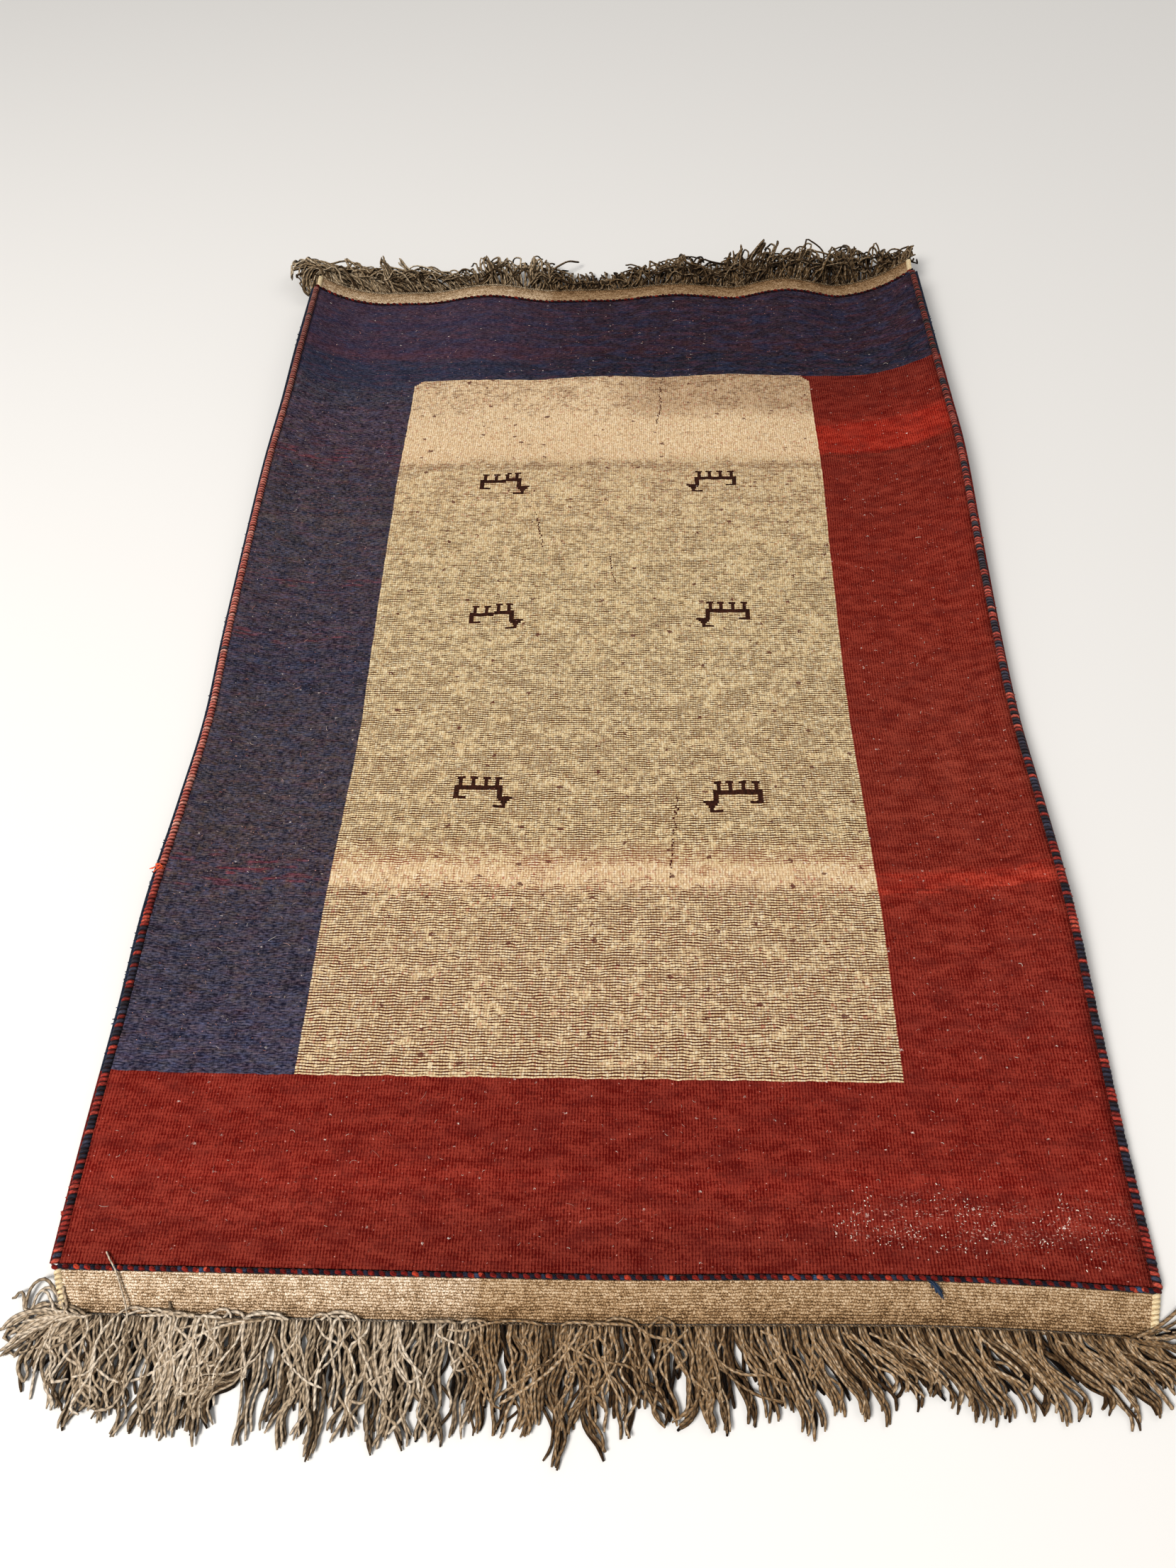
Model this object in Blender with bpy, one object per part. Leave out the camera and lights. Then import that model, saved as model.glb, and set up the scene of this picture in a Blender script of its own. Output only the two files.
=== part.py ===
"""A hand-knotted gabbeh rug that lies back side up on a floor.

Metres, +Z up, near end at -Y. The origin is in the middle of the rug's
underside, on the floor. Every piece is first modelled flat, in cloth measure
(u across, v along, lift above the underside). lay() then bends it to the way
the rug lies: both long sides turn up and the far end is wavy.
"""
import math
import random
from collections import namedtuple

import bmesh
import bpy
from mathutils import Vector

# Clearance between neighbouring pieces
GAP = 0.0003

# The knotted body: a woven foundation with its pile underneath
BODY_LENGTH = 1.786
THICKNESS = 0.009
FOUNDATION = 0.003

# Overcast cords along the long sides, and the pile that splays out below them
SELVEDGE_RADIUS = 0.0047
SELVEDGE_SIDES = 8
PILE_SPLAY_DEPTH = 0.0023

# The twined row, the flat-woven band and the fringe heading at each end
TWINING_WIDTH = 0.007
TWINING_PROUD = 0.0012
BAND_WIDTH = 0.041
BAND_OVERHANG = 0.004
HEADING_WIDTH = 0.005
HEADING_THICKNESS = 0.0035

# Columns across and rows along the body, and locks in each fringe
COLUMNS_MIDDLE = 22
COLUMNS_CURL = 5
ROWS = 24
ROWS_CROWDING = 0.35
LOCKS = 108

# Where the cloth starts to turn up, measured from the middle
CURL_FROM = {"left": 0.455, "right": 0.425}

# How the long sides lie, a row for each place along the rug: the cloth from
# the middle to each edge, and the upturn in degrees that it has there
Side = namedtuple("Side", "at left left_turn right right_turn")
SIDES = (
    Side(-0.940, 0.5950, 0.0, 0.5940, 0.0),
    Side(-0.893, 0.5950, 1.0, 0.5940, 1.0),
    Side(-0.750, 0.5950, 5.0, 0.5920, 3.0),
    Side(-0.600, 0.5925, 10.0, 0.5925, 8.0),
    Side(-0.450, 0.5935, 15.0, 0.5930, 16.0),
    Side(-0.300, 0.5860, 16.5, 0.5870, 17.0),
    Side(-0.150, 0.5810, 16.5, 0.5800, 17.5),
    Side(0.000, 0.5870, 17.0, 0.5810, 19.5),
    Side(0.200, 0.5930, 18.0, 0.5865, 25.0),
    Side(0.400, 0.5965, 23.0, 0.5935, 29.5),
    Side(0.550, 0.5945, 30.0, 0.5910, 31.5),
    Side(0.700, 0.5960, 37.0, 0.5880, 33.5),
    Side(0.893, 0.5955, 34.5, 0.5845, 40.0),
    Side(0.960, 0.5955, 33.0, 0.5845, 40.0),
)

# How far the pile splays out past the body's edges, a row for each place along
Splay = namedtuple("Splay", "at left right")
SPLAYS = (
    Splay(-0.893, 0.0140, 0.0080),
    Splay(-0.600, 0.0145, 0.0085),
    Splay(-0.300, 0.0160, 0.0150),
    Splay(0.893, 0.0180, 0.0180),
)

# How far the near end bows in from a straight line, a row for each place across
Bow = namedtuple("Bow", "at shift")
NEAR_BOW = (
    Bow(-0.62, 0.000),
    Bow(0.00, 0.001),
    Bow(0.20, 0.005),
    Bow(0.36, 0.007),
    Bow(0.50, 0.004),
    Bow(0.62, -0.002),
)
NEAR_BOW_FROM = -0.70

# The folds, a row for each: its middle, its reach each way, and its height
Fold = namedtuple("Fold", "u v half_u half_v height")
FOLDS = (
    Fold(-0.250, 0.940, 0.130, 0.42, 0.015),
    Fold(0.120, 0.940, 0.135, 0.36, 0.010),
    Fold(0.335, 0.950, 0.115, 0.38, 0.018),
    Fold(-0.020, 0.620, 0.150, 0.17, 0.007),
    Fold(0.210, 0.600, 0.150, 0.20, 0.008),
    Fold(-0.150, 0.370, 0.420, 0.09, 0.005),
)

# The fringes, a row for each place across: how far the tips reach past the
# heading, how far they lean to +u, and how high they heap up
Tips = namedtuple("Tips", "at reach lean heap")
NEAR_TIPS = (
    Tips(-0.60, 0.058, -0.042, 0.0),
    Tips(-0.57, 0.088, -0.020, 0.0),
    Tips(-0.50, 0.108, -0.006, 0.0),
    Tips(-0.40, 0.112, -0.010, 0.0),
    Tips(-0.30, 0.120, -0.012, 0.0),
    Tips(-0.15, 0.110, -0.006, 0.0),
    Tips(-0.04, 0.118, 0.004, 0.0),
    Tips(0.10, 0.094, 0.010, 0.0),
    Tips(0.20, 0.098, 0.022, 0.0),
    Tips(0.32, 0.078, 0.034, 0.0),
    Tips(0.45, 0.084, 0.036, 0.0),
    Tips(0.55, 0.080, 0.034, 0.0),
    Tips(0.60, 0.052, 0.046, 0.0),
)
FAR_TIPS = (
    Tips(-0.60, 0.055, -0.062, 0.020),
    Tips(-0.56, 0.085, -0.030, 0.030),
    Tips(-0.45, 0.094, 0.004, 0.034),
    Tips(-0.37, 0.082, 0.012, 0.030),
    Tips(-0.30, 0.055, 0.008, 0.018),
    Tips(-0.22, 0.082, 0.000, 0.030),
    Tips(-0.14, 0.082, 0.004, 0.030),
    Tips(-0.04, 0.046, 0.000, 0.012),
    Tips(0.02, 0.056, 0.000, 0.014),
    Tips(0.10, 0.084, 0.004, 0.025),
    Tips(0.20, 0.084, 0.004, 0.028),
    Tips(0.275, 0.096, 0.006, 0.068),
    Tips(0.34, 0.094, 0.004, 0.038),
    Tips(0.47, 0.098, 0.000, 0.040),
    Tips(0.54, 0.070, 0.004, 0.026),
    Tips(0.60, 0.060, 0.018, 0.022),
)

# A lock of fringe from root to tip: part of the way, half width and height
Ring = namedtuple("Ring", "way half_width height")
NEAR_LOCK = (Ring(0.30, 0.0043, 0.0060), Ring(0.72, 0.0040, 0.0055), Ring(1.0, 0.0020, 0.0030))
FAR_LOCK = (
    Ring(0.22, 0.0043, 0.0060),
    Ring(0.52, 0.0042, 0.0060),
    Ring(0.80, 0.0036, 0.0050),
    Ring(1.0, 0.0020, 0.0030),
)
LOCK_UNEVENNESS = 0.08

# Sizes that follow from those above
BODY_END = BODY_LENGTH / 2 - TWINING_WIDTH / 2 - GAP
BAND_START = BODY_LENGTH / 2 + TWINING_WIDTH / 2 + GAP
BAND_END = BAND_START + BAND_WIDTH
HEADING_START = BAND_END + GAP
HEADING_END = HEADING_START + HEADING_WIDTH
FOUNDATION_LIFT = THICKNESS - FOUNDATION


def follow(table, column, place):
    """Read a column of a table between its rows, along a smooth curve."""
    places = [row.at for row in table]
    values = [getattr(row, column) for row in table]
    if place <= places[0]:
        return values[0]
    if place >= places[-1]:
        return values[-1]
    k = max(i for i in range(len(places) - 1) if places[i] <= place)
    last = len(places) - 1
    slopes = []
    for i in (k, k + 1):
        before, after = max(i - 1, 0), min(i + 1, last)
        slopes.append((values[after] - values[before]) / (places[after] - places[before]))
    span = places[k + 1] - places[k]
    t = (place - places[k]) / span
    return (
        values[k] * (1 + 2 * t) * (1 - t) ** 2
        + values[k + 1] * (3 - 2 * t) * t ** 2
        + slopes[0] * span * t * (1 - t) ** 2
        - slopes[1] * span * t ** 2 * (1 - t)
    )


def ease(t):
    """Go from 0 to 1, level at both ends."""
    t = min(max(t, 0.0), 1.0)
    return t * t * (3 - 2 * t)


def swell(t):
    """A rounded rise that is 1 in its middle and exactly 0 from 1 outwards."""
    return math.cos(math.pi * t / 2) ** 2 if abs(t) < 1 else 0.0


def half_width(side, v):
    """The cloth from the middle to an edge of the knotted body."""
    return follow(SIDES, side, v)


def underside(u, v):
    """Where a place on the flat cloth's underside lies."""
    side = "left" if u < 0 else "right"
    start = CURL_FROM[side]
    turn = math.radians(max(follow(SIDES, side + "_turn", v), 0.0))
    x, z = abs(u), 0.0
    if x > start and turn > 0:
        radius = (half_width(side, v) - start) / turn
        bend = (x - start) / radius
        x, z = start + radius * math.sin(bend), radius * (1 - math.cos(bend))
    z += sum(f.height * swell((u - f.u) / f.half_u) * swell((v - f.v) / f.half_v) for f in FOLDS)
    near = ease((NEAR_BOW_FROM - v) / (BODY_LENGTH / 2 + NEAR_BOW_FROM))
    y = v + near * follow(NEAR_BOW, "shift", u)
    return Vector((math.copysign(x, u), y, z))


def lay(place):
    """Turn a point in cloth measure (u, v, lift) into one of the laid rug."""
    u, v, lift = place
    step = 0.001
    tangent_u = underside(u + step, v) - underside(u - step, v)
    tangent_v = underside(u, v + step) - underside(u, v - step)
    return underside(u, v) + tangent_u.cross(tangent_v).normalized() * lift


def end_lift(v):
    """The lift of the end's flat weave, which sinks from the foundation to the floor."""
    return FOUNDATION_LIFT * (1 - ease((abs(v) - BAND_START) / BAND_WIDTH))


def column_fractions():
    """Places across the body, closer together where the sides turn up."""
    middle = [-1 + 2 * i / COLUMNS_MIDDLE for i in range(COLUMNS_MIDDLE + 1)]
    left = CURL_FROM["left"] / half_width("left", 0)
    right = CURL_FROM["right"] / half_width("right", 0)
    inner = [f * (left if f < 0 else right) for f in middle]
    outer = [(i + 1) / COLUMNS_CURL for i in range(COLUMNS_CURL)]
    return (
        [-(left + (1 - left) * t) for t in reversed(outer)]
        + inner
        + [right + (1 - right) * t for t in outer]
    )


def row_places():
    """Places along the body, closer together towards the wavy far end."""
    places = []
    for i in range(ROWS + 1):
        t = i / ROWS
        t += ROWS_CROWDING * t * (1 - t)
        places.append((2 * t - 1) * BODY_END)
    return places


def across(fraction, v, overhang=0.0):
    """The place across the cloth for a fraction, -1 at the left edge and 1 at the right."""
    side = "left" if fraction < 0 else "right"
    return fraction * (half_width(side, v) + overhang)


def finish_piece(name, bm, colour, roughness):
    """Make an object of a mesh that is already laid, with its own material."""
    bmesh.ops.recalc_face_normals(bm, faces=bm.faces)
    if bm.calc_volume(signed=True) < 0:
        bmesh.ops.reverse_faces(bm, faces=bm.faces)
    mesh = bpy.data.meshes.new(name)
    bm.to_mesh(mesh)
    bm.free()
    piece = bpy.data.objects.new(name, mesh)
    bpy.context.scene.collection.objects.link(piece)
    material = bpy.data.materials.new(name + "_wool")
    material.use_nodes = True
    shader = material.node_tree.nodes["Principled BSDF"]
    shader.inputs["Base Color"].default_value = (*colour, 1)
    shader.inputs["Roughness"].default_value = roughness
    mesh.materials.append(material)
    return piece


def slab(columns, rows, place_below, place_above):
    """A closed sheet of cloth: a grid and its copy, with walls round the rim.

    place_below and place_above give (u, v, lift) for a column and a row.
    """
    bm = bmesh.new()
    bmesh.ops.create_grid(bm, x_segments=columns, y_segments=rows, size=0.5)
    raised = bmesh.ops.extrude_face_region(bm, geom=list(bm.faces), use_keep_orig=True)["geom"]
    above = {v for v in raised if isinstance(v, bmesh.types.BMVert)}
    for v in bm.verts:
        column, row = round((v.co.x + 0.5) * columns), round((v.co.y + 0.5) * rows)
        v.co = (place_above if v in above else place_below)(column, row)
    return bm


def make_body():
    """The knotted body, one slab, with its pile splayed out under both cords."""
    fractions = column_fractions()
    rows = row_places()
    last = len(fractions) + 3

    def spot(column, row, lift, lip):
        v = rows[row]
        inner = min(max(column - 2, 0), len(fractions) - 1)
        u = across(fractions[inner], v)
        if column == 0:
            u -= follow(SPLAYS, "left", v)
        elif column == last:
            u += follow(SPLAYS, "right", v)
        if column in (0, 1, last - 1, last):
            lift = min(lift, lip)
        return u, v, lift

    bm = slab(
        last,
        len(rows) - 1,
        lambda column, row: spot(column, row, 0.0, 0.0),
        lambda column, row: spot(column, row, THICKNESS, PILE_SPLAY_DEPTH),
    )
    bmesh.ops.remove_doubles(bm, verts=bm.verts, dist=GAP / 10)
    for v in bm.verts:
        v.co = lay(v.co)
    return finish_piece("rug_ground", bm, (0.30, 0.10, 0.08), 0.95)


def make_selvedge(side):
    """An overcast cord against the body's long edge, at the foundation's level."""
    sign = -1 if side == "left" else 1
    rows = row_places()
    bm = bmesh.new()
    bmesh.ops.create_cone(
        bm, cap_ends=True, segments=SELVEDGE_SIDES,
        radius1=SELVEDGE_RADIUS, radius2=SELVEDGE_RADIUS, depth=2.0,
    )
    cuts = len(rows) - 2
    bmesh.ops.subdivide_edges(
        bm, edges=[e for e in bm.edges if abs(e.verts[0].co.z - e.verts[1].co.z) > 1],
        cuts=cuts, use_grid_fill=False,
    )
    for v in bm.verts:
        row = round((v.co.z + 1) / 2 * (len(rows) - 1))
        middle = half_width(side, rows[row]) + GAP + SELVEDGE_RADIUS
        lift = THICKNESS - FOUNDATION / 2 + v.co.y
        v.co = lay((sign * (middle + v.co.x), rows[row], lift))
    return finish_piece("selvedge_" + side, bm, (0.28, 0.06, 0.04), 0.9)


def end_strip(end, start, stop, overhang, bottom, top):
    """A narrow strip across an end, between two distances from the middle."""
    sign = -1 if end == "near" else 1
    fractions = column_fractions()

    def spot(column, row, lift):
        v = sign * (start, stop)[row]
        return across(fractions[column], v, overhang), v, lift(v)

    bm = slab(
        len(fractions) - 1, 1,
        lambda column, row: spot(column, row, bottom),
        lambda column, row: spot(column, row, top),
    )
    for v in bm.verts:
        v.co = lay(v.co)
    return bm


def make_twining(end):
    """The twined row that closes the knotting, standing a little proud."""
    bm = end_strip(
        end, BODY_END + GAP, BAND_START - GAP, 2 * SELVEDGE_RADIUS,
        lambda v: FOUNDATION_LIFT, lambda v: THICKNESS + TWINING_PROUD,
    )
    return finish_piece("twining_" + end, bm, (0.25, 0.04, 0.04), 0.9)


def make_band(end):
    """The flat-woven band, which sinks from the foundation to the floor."""
    bm = end_strip(
        end, BAND_START, BAND_END, BAND_OVERHANG, end_lift,
        lambda v: end_lift(v) + FOUNDATION,
    )
    return finish_piece("end_band_" + end, bm, (0.40, 0.30, 0.19), 0.95)


def heading_spot(end, column, row, lift):
    """A place on the fringe heading, in cloth measure."""
    v = (-1 if end == "near" else 1) * (HEADING_START, HEADING_END)[row]
    return across(2 * column / LOCKS - 1, v, BAND_OVERHANG), v, lift


def grow_lock(bm, face, corners, rings, tips, outward, chance):
    """Extrude a face of the heading into a lock of fringe that ends on the floor.

    corners says for each of the face's points whether it is a right one and a top one.
    """
    root = face.calc_center_median()
    base = min(v.co.z for v in face.verts)
    reach = follow(tips, "reach", root.x) * (1 + chance.uniform(-1, 1) * LOCK_UNEVENNESS)
    lean = follow(tips, "lean", root.x)
    heap = follow(tips, "heap", root.x)
    for ring in rings:
        face = bmesh.ops.extrude_discrete_faces(bm, faces=[face])["faces"][0]
        floor = base * (1 - ring.way) ** 2 + heap * math.sin(math.pi * ring.way)
        floor = max(floor, 0.0) if ring.way < 1 else 0.0
        for v, (right, top) in zip(face.verts, corners):
            v.co.x = root.x + lean * ring.way ** 1.3 + (1 if right else -1) * ring.half_width
            v.co.y = root.y + outward * reach * ring.way
            v.co.z = floor + (ring.height if top else 0.0)


def make_fringe(end):
    """The fringe: a narrow heading along the band, with a lock for each of its cells."""
    bm = slab(
        LOCKS, 1,
        lambda column, row: heading_spot(end, column, row, 0.0),
        lambda column, row: heading_spot(end, column, row, HEADING_THICKNESS),
    )
    front = []
    for face in bm.faces:
        if all(abs(abs(v.co.y) - HEADING_END) < GAP / 10 for v in face.verts):
            middle = face.calc_center_median()
            corners = [(v.co.x > middle.x, v.co.z > middle.z) for v in face.verts]
            front.append((middle.x, face, corners))
    for v in bm.verts:
        v.co = lay(v.co)
    near = end == "near"
    chance = random.Random(5 if near else 11)
    for _, face, corners in sorted(front, key=lambda cell: cell[0]):
        if near:
            grow_lock(bm, face, corners, NEAR_LOCK, NEAR_TIPS, -1, chance)
        else:
            grow_lock(bm, face, corners, FAR_LOCK, FAR_TIPS, 1, chance)
    return finish_piece("fringe_" + end, bm, (0.25, 0.20, 0.15), 0.95)


def make_rug():
    """All the pieces of the rug, from the body outwards."""
    for old in list(bpy.data.objects):
        bpy.data.objects.remove(old, do_unlink=True)
    make_body()
    for side in ("left", "right"):
        make_selvedge(side)
    for end in ("near", "far"):
        make_twining(end)
        make_band(end)
        make_fringe(end)


make_rug()
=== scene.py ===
"""A hand-knotted gabbeh rug that lies back side up on a pale floor.

Each piece is first shaped flat, in cloth measure: u across, v along and the
lift above the underside, in metres. It is then laid the way the rug lies.
"""
import math

import bmesh
import bpy
import numpy as np
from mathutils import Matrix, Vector


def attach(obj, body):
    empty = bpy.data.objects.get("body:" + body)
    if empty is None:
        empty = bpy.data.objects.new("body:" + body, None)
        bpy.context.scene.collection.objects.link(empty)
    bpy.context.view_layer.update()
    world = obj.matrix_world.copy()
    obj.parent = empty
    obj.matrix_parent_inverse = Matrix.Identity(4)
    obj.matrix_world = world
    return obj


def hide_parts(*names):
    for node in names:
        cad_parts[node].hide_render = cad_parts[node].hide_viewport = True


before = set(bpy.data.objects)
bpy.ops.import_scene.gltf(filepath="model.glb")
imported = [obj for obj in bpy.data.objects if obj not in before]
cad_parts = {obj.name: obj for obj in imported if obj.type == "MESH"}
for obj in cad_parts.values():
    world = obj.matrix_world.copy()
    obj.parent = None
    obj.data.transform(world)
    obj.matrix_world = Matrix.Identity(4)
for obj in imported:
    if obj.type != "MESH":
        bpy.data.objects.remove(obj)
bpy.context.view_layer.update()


# The room: a plain pale floor, a large soft lamp at the near left and an even
# light from all round. The picture is taken from the near end, looking down.
FLOOR_DROP = 0.0004


def hex_colour(text):
    """Turn an sRGB hex value into a linear colour."""
    parts = [int(text[i:i + 2], 16) / 255 for i in (1, 3, 5)]
    linear = [c / 12.92 if c <= 0.04045 else ((c + 0.055) / 1.055) ** 2.4 for c in parts]
    return (*linear, 1.0)


def add(kind, inputs=(), stops=(), **settings):
    """Add a node to the tree in hand: its settings, then its inputs, by place or by name.

    An input is a number, a hex colour, another node or a socket. Stops are
    the (place, hex colour) pairs of a colour ramp.
    """
    made = tree.nodes.new("ShaderNode" + kind)
    for key, value in settings.items():
        setattr(made, key, value)
    for key, value in inputs.items() if isinstance(inputs, dict) else enumerate(inputs):
        if isinstance(value, str):
            value = hex_colour(value)
        if isinstance(value, bpy.types.Node):
            value = value.outputs[0]
        if isinstance(value, bpy.types.NodeSocket):
            tree.links.new(value, made.inputs[key])
        else:
            made.inputs[key].default_value = value
    for number, (at, colour) in enumerate(stops):
        points = made.color_ramp.elements
        point = points[number] if number < 2 else points.new(1.0)
        point.position = at
        point.color = hex_colour(colour) if isinstance(colour, str) else colour
    return made


def new_material(name, roughness, specular=0.08, sheen=0.0):
    """A new material, its node tree and its shader."""
    material = bpy.data.materials.new(name)
    material.use_nodes = True
    shader = material.node_tree.nodes["Principled BSDF"]
    shader.inputs["Roughness"].default_value = roughness
    shader.inputs["Specular IOR Level"].default_value = specular
    shader.inputs["Sheen Weight"].default_value = sheen
    return material, material.node_tree, shader


paint, tree, shader = new_material("matt_pale_floor_paint", roughness=0.9)
shader.inputs["Base Color"].default_value = hex_colour("#eceae7")
bm = bmesh.new()
bmesh.ops.create_grid(bm, x_segments=1, y_segments=1, size=30)
bmesh.ops.translate(bm, verts=bm.verts, vec=(0, 0, -FLOOR_DROP))
mesh = bpy.data.meshes.new("floor")
bm.to_mesh(mesh)
bm.free()
mesh.materials.append(paint)
floor = bpy.data.objects.new("floor", mesh)
bpy.context.scene.collection.objects.link(floor)

world = bpy.data.worlds.new("even_room_light")
bpy.context.scene.world = world
world.use_nodes = True
world.node_tree.nodes["Background"].inputs["Color"].default_value = hex_colour("#ffffff")
world.node_tree.nodes["Background"].inputs["Strength"].default_value = 0.33

for name, place, size, power in (
    ("soft_lamp", (-2.6, -3.0, 4.6), 2.2, 370),
    ("fill_lamp", (3.4, 2.2, 4.4), 3.0, 40),
):
    lamp = bpy.data.lights.new(name, "AREA")
    lamp.size, lamp.energy, lamp.color = size, power, hex_colour("#fffcf8")[:3]
    holder = bpy.data.objects.new(name, lamp)
    holder.location = place
    holder.rotation_euler = (-Vector(place)).to_track_quat("-Z", "Y").to_euler()
    bpy.context.scene.collection.objects.link(holder)

camera = bpy.data.objects.new("camera", bpy.data.cameras.new("camera"))
camera.location = (0.0426, -1.089, 1.2905)
camera.rotation_euler = [math.radians(a) for a in (33.173, 2.012, 1.462)]
camera.data.lens = 24.97
camera.data.sensor_width = 36
bpy.context.scene.collection.objects.link(camera)
bpy.context.scene.camera = camera
bpy.context.scene.view_settings.view_transform = "Standard"


# The knotted body, wool pile on a woven foundation, seen from its back. Rows
# of knots stand up between the sunk weft lines. The pile side faces the floor.
GAP = 0.0003
BODY_END = 0.8892
THICKNESS = 0.009
FOUNDATION = 0.003
SELVEDGE_RADIUS = 0.0047
KNOT_ROWS = 487
ROW_PITCH = 2 * BODY_END / KNOT_ROWS
KNOT = 0.00374
WEFT_DEPTH = 0.00045
BACK_COLUMNS = 76
PILE_COLUMNS = 14
WEAVE_HALF_WIDTH = 0.595
CURL_FROM = {-1: 0.455, 1: 0.425}

# Place along, cloth from the middle to the left edge and its upturn in
# degrees, the same for the right edge
SIDES = (
    (-0.940, 0.5950, 0.0, 0.5940, 0.0),
    (-0.893, 0.5950, 1.0, 0.5940, 1.0),
    (-0.750, 0.5950, 5.0, 0.5920, 3.0),
    (-0.600, 0.5925, 10.0, 0.5925, 8.0),
    (-0.450, 0.5935, 15.0, 0.5930, 16.0),
    (-0.300, 0.5860, 16.5, 0.5870, 17.0),
    (-0.150, 0.5810, 16.5, 0.5800, 17.5),
    (0.000, 0.5870, 17.0, 0.5810, 19.5),
    (0.200, 0.5930, 18.0, 0.5865, 25.0),
    (0.400, 0.5965, 23.0, 0.5935, 29.5),
    (0.550, 0.5945, 30.0, 0.5910, 31.5),
    (0.700, 0.5960, 37.0, 0.5880, 33.5),
    (0.893, 0.5955, 34.5, 0.5845, 40.0),
    (0.960, 0.5955, 33.0, 0.5845, 40.0),
)
# Place along, and how far the pile splays out past the left and right edge
SPLAYS = (
    (-0.893, 0.0150, 0.0095),
    (-0.600, 0.0150, 0.0095),
    (-0.300, 0.0145, 0.0115),
    (0.893, 0.0130, 0.0125),
)
# Place across, and how far the near end bows in there
NEAR_BOW = (
    (-0.62, 0.000), (0.00, 0.001), (0.20, 0.005), (0.36, 0.007), (0.50, 0.004), (0.62, -0.002),
)
NEAR_BOW_FROM, NEAR_BOW_TO = -0.70, -0.893
# Each fold's middle across and along, its reach each way, and its height
FOLDS = (
    (-0.250, 0.940, 0.130, 0.42, 0.015),
    (0.120, 0.940, 0.135, 0.36, 0.010),
    (0.335, 0.950, 0.115, 0.38, 0.018),
    (-0.020, 0.620, 0.150, 0.17, 0.007),
    (0.210, 0.600, 0.150, 0.20, 0.008),
    (-0.150, 0.370, 0.420, 0.09, 0.005),
)


def follow(table, column, place):
    """Read a column of a table at many places, along a smooth curve through its rows."""
    at = np.array([row[0] for row in table])
    value = np.array([row[column] for row in table])
    last = len(at) - 1
    before, after = np.maximum(np.arange(len(at)) - 1, 0), np.minimum(np.arange(len(at)) + 1, last)
    slope = (value[after] - value[before]) / (at[after] - at[before])
    place = np.clip(place, at[0], at[-1])
    k = np.clip(np.searchsorted(at, place, "right") - 1, 0, last - 1)
    span = at[k + 1] - at[k]
    t = (place - at[k]) / span
    ends = value[k] * (1 + 2 * t) * (1 - t) ** 2 + value[k + 1] * (3 - 2 * t) * t ** 2
    turns = slope[k] * t * (1 - t) ** 2 - slope[k + 1] * t ** 2 * (1 - t)
    return ends + turns * span


def ease(t):
    """Go from 0 to 1, level at both ends."""
    t = np.clip(t, 0.0, 1.0)
    return t * t * (3 - 2 * t)


def swell(t):
    """A rounded rise that is 1 in its middle and 0 from 1 outwards."""
    return np.where(np.abs(t) < 1, np.cos(np.pi * np.clip(t, -1, 1) / 2) ** 2, 0.0)


def half_width(u, v):
    """The cloth from the middle to the edge on u's side."""
    return np.where(u < 0, follow(SIDES, 1, v), follow(SIDES, 3, v))


def underside(u, v):
    """Where places on the flat cloth's underside lie."""
    start = np.where(u < 0, CURL_FROM[-1], CURL_FROM[1])
    turn = np.where(u < 0, follow(SIDES, 2, v), follow(SIDES, 4, v))
    turn = np.radians(np.maximum(turn, 0.001))
    radius = (half_width(u, v) - start) / turn
    bend = np.maximum(np.abs(u) - start, 0) / radius
    x = np.minimum(np.abs(u), start) + radius * np.sin(bend)
    z = radius * (1 - np.cos(bend))
    for fold_u, fold_v, half_u, half_v, height in FOLDS:
        z = z + height * swell((u - fold_u) / half_u) * swell((v - fold_v) / half_v)
    near = ease((NEAR_BOW_FROM - v) / (NEAR_BOW_FROM - NEAR_BOW_TO))
    y = v + near * follow(NEAR_BOW, 1, u)
    return np.stack([np.copysign(x, u), y, z], axis=-1)


def lay(flat):
    """Turn places in cloth measure, rows of (u, v, lift), into places on the laid rug."""
    u, v, lift = flat[..., 0], flat[..., 1], flat[..., 2]
    step = 0.001
    tangent_u = underside(u + step, v) - underside(u - step, v)
    tangent_v = underside(u, v + step) - underside(u, v - step)
    out = np.cross(tangent_u, tangent_v)
    out /= np.linalg.norm(out, axis=-1, keepdims=True)
    return underside(u, v) + out * lift[..., None]


def points_of(mesh):
    """A mesh's vertices as rows of three numbers."""
    found = np.empty(len(mesh.vertices) * 3)
    mesh.vertices.foreach_get("co", found)
    return found.reshape(-1, 3)


def set_attribute(mesh, name, values):
    """Keep a number or a vector for each vertex, for a material to read."""
    kind, key = ("FLOAT_VECTOR", "vector") if values.ndim == 2 else ("FLOAT", "value")
    mesh.attributes.new(name, kind, "POINT").data.foreach_set(key, values.astype(np.float32).ravel())


def show(name, mesh, materials, slot, *nodes):
    """Link a finished mesh as a piece of the rug that stands for its CAD nodes."""
    for material in materials:
        mesh.materials.append(material)
    mesh.polygons.foreach_set("use_smooth", [True] * len(mesh.polygons))
    mesh.update()
    piece = bpy.data.objects.new(name, mesh)
    bpy.context.scene.collection.objects.link(piece)
    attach(piece, "root")
    if nodes:
        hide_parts(*nodes)
    return piece


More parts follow.
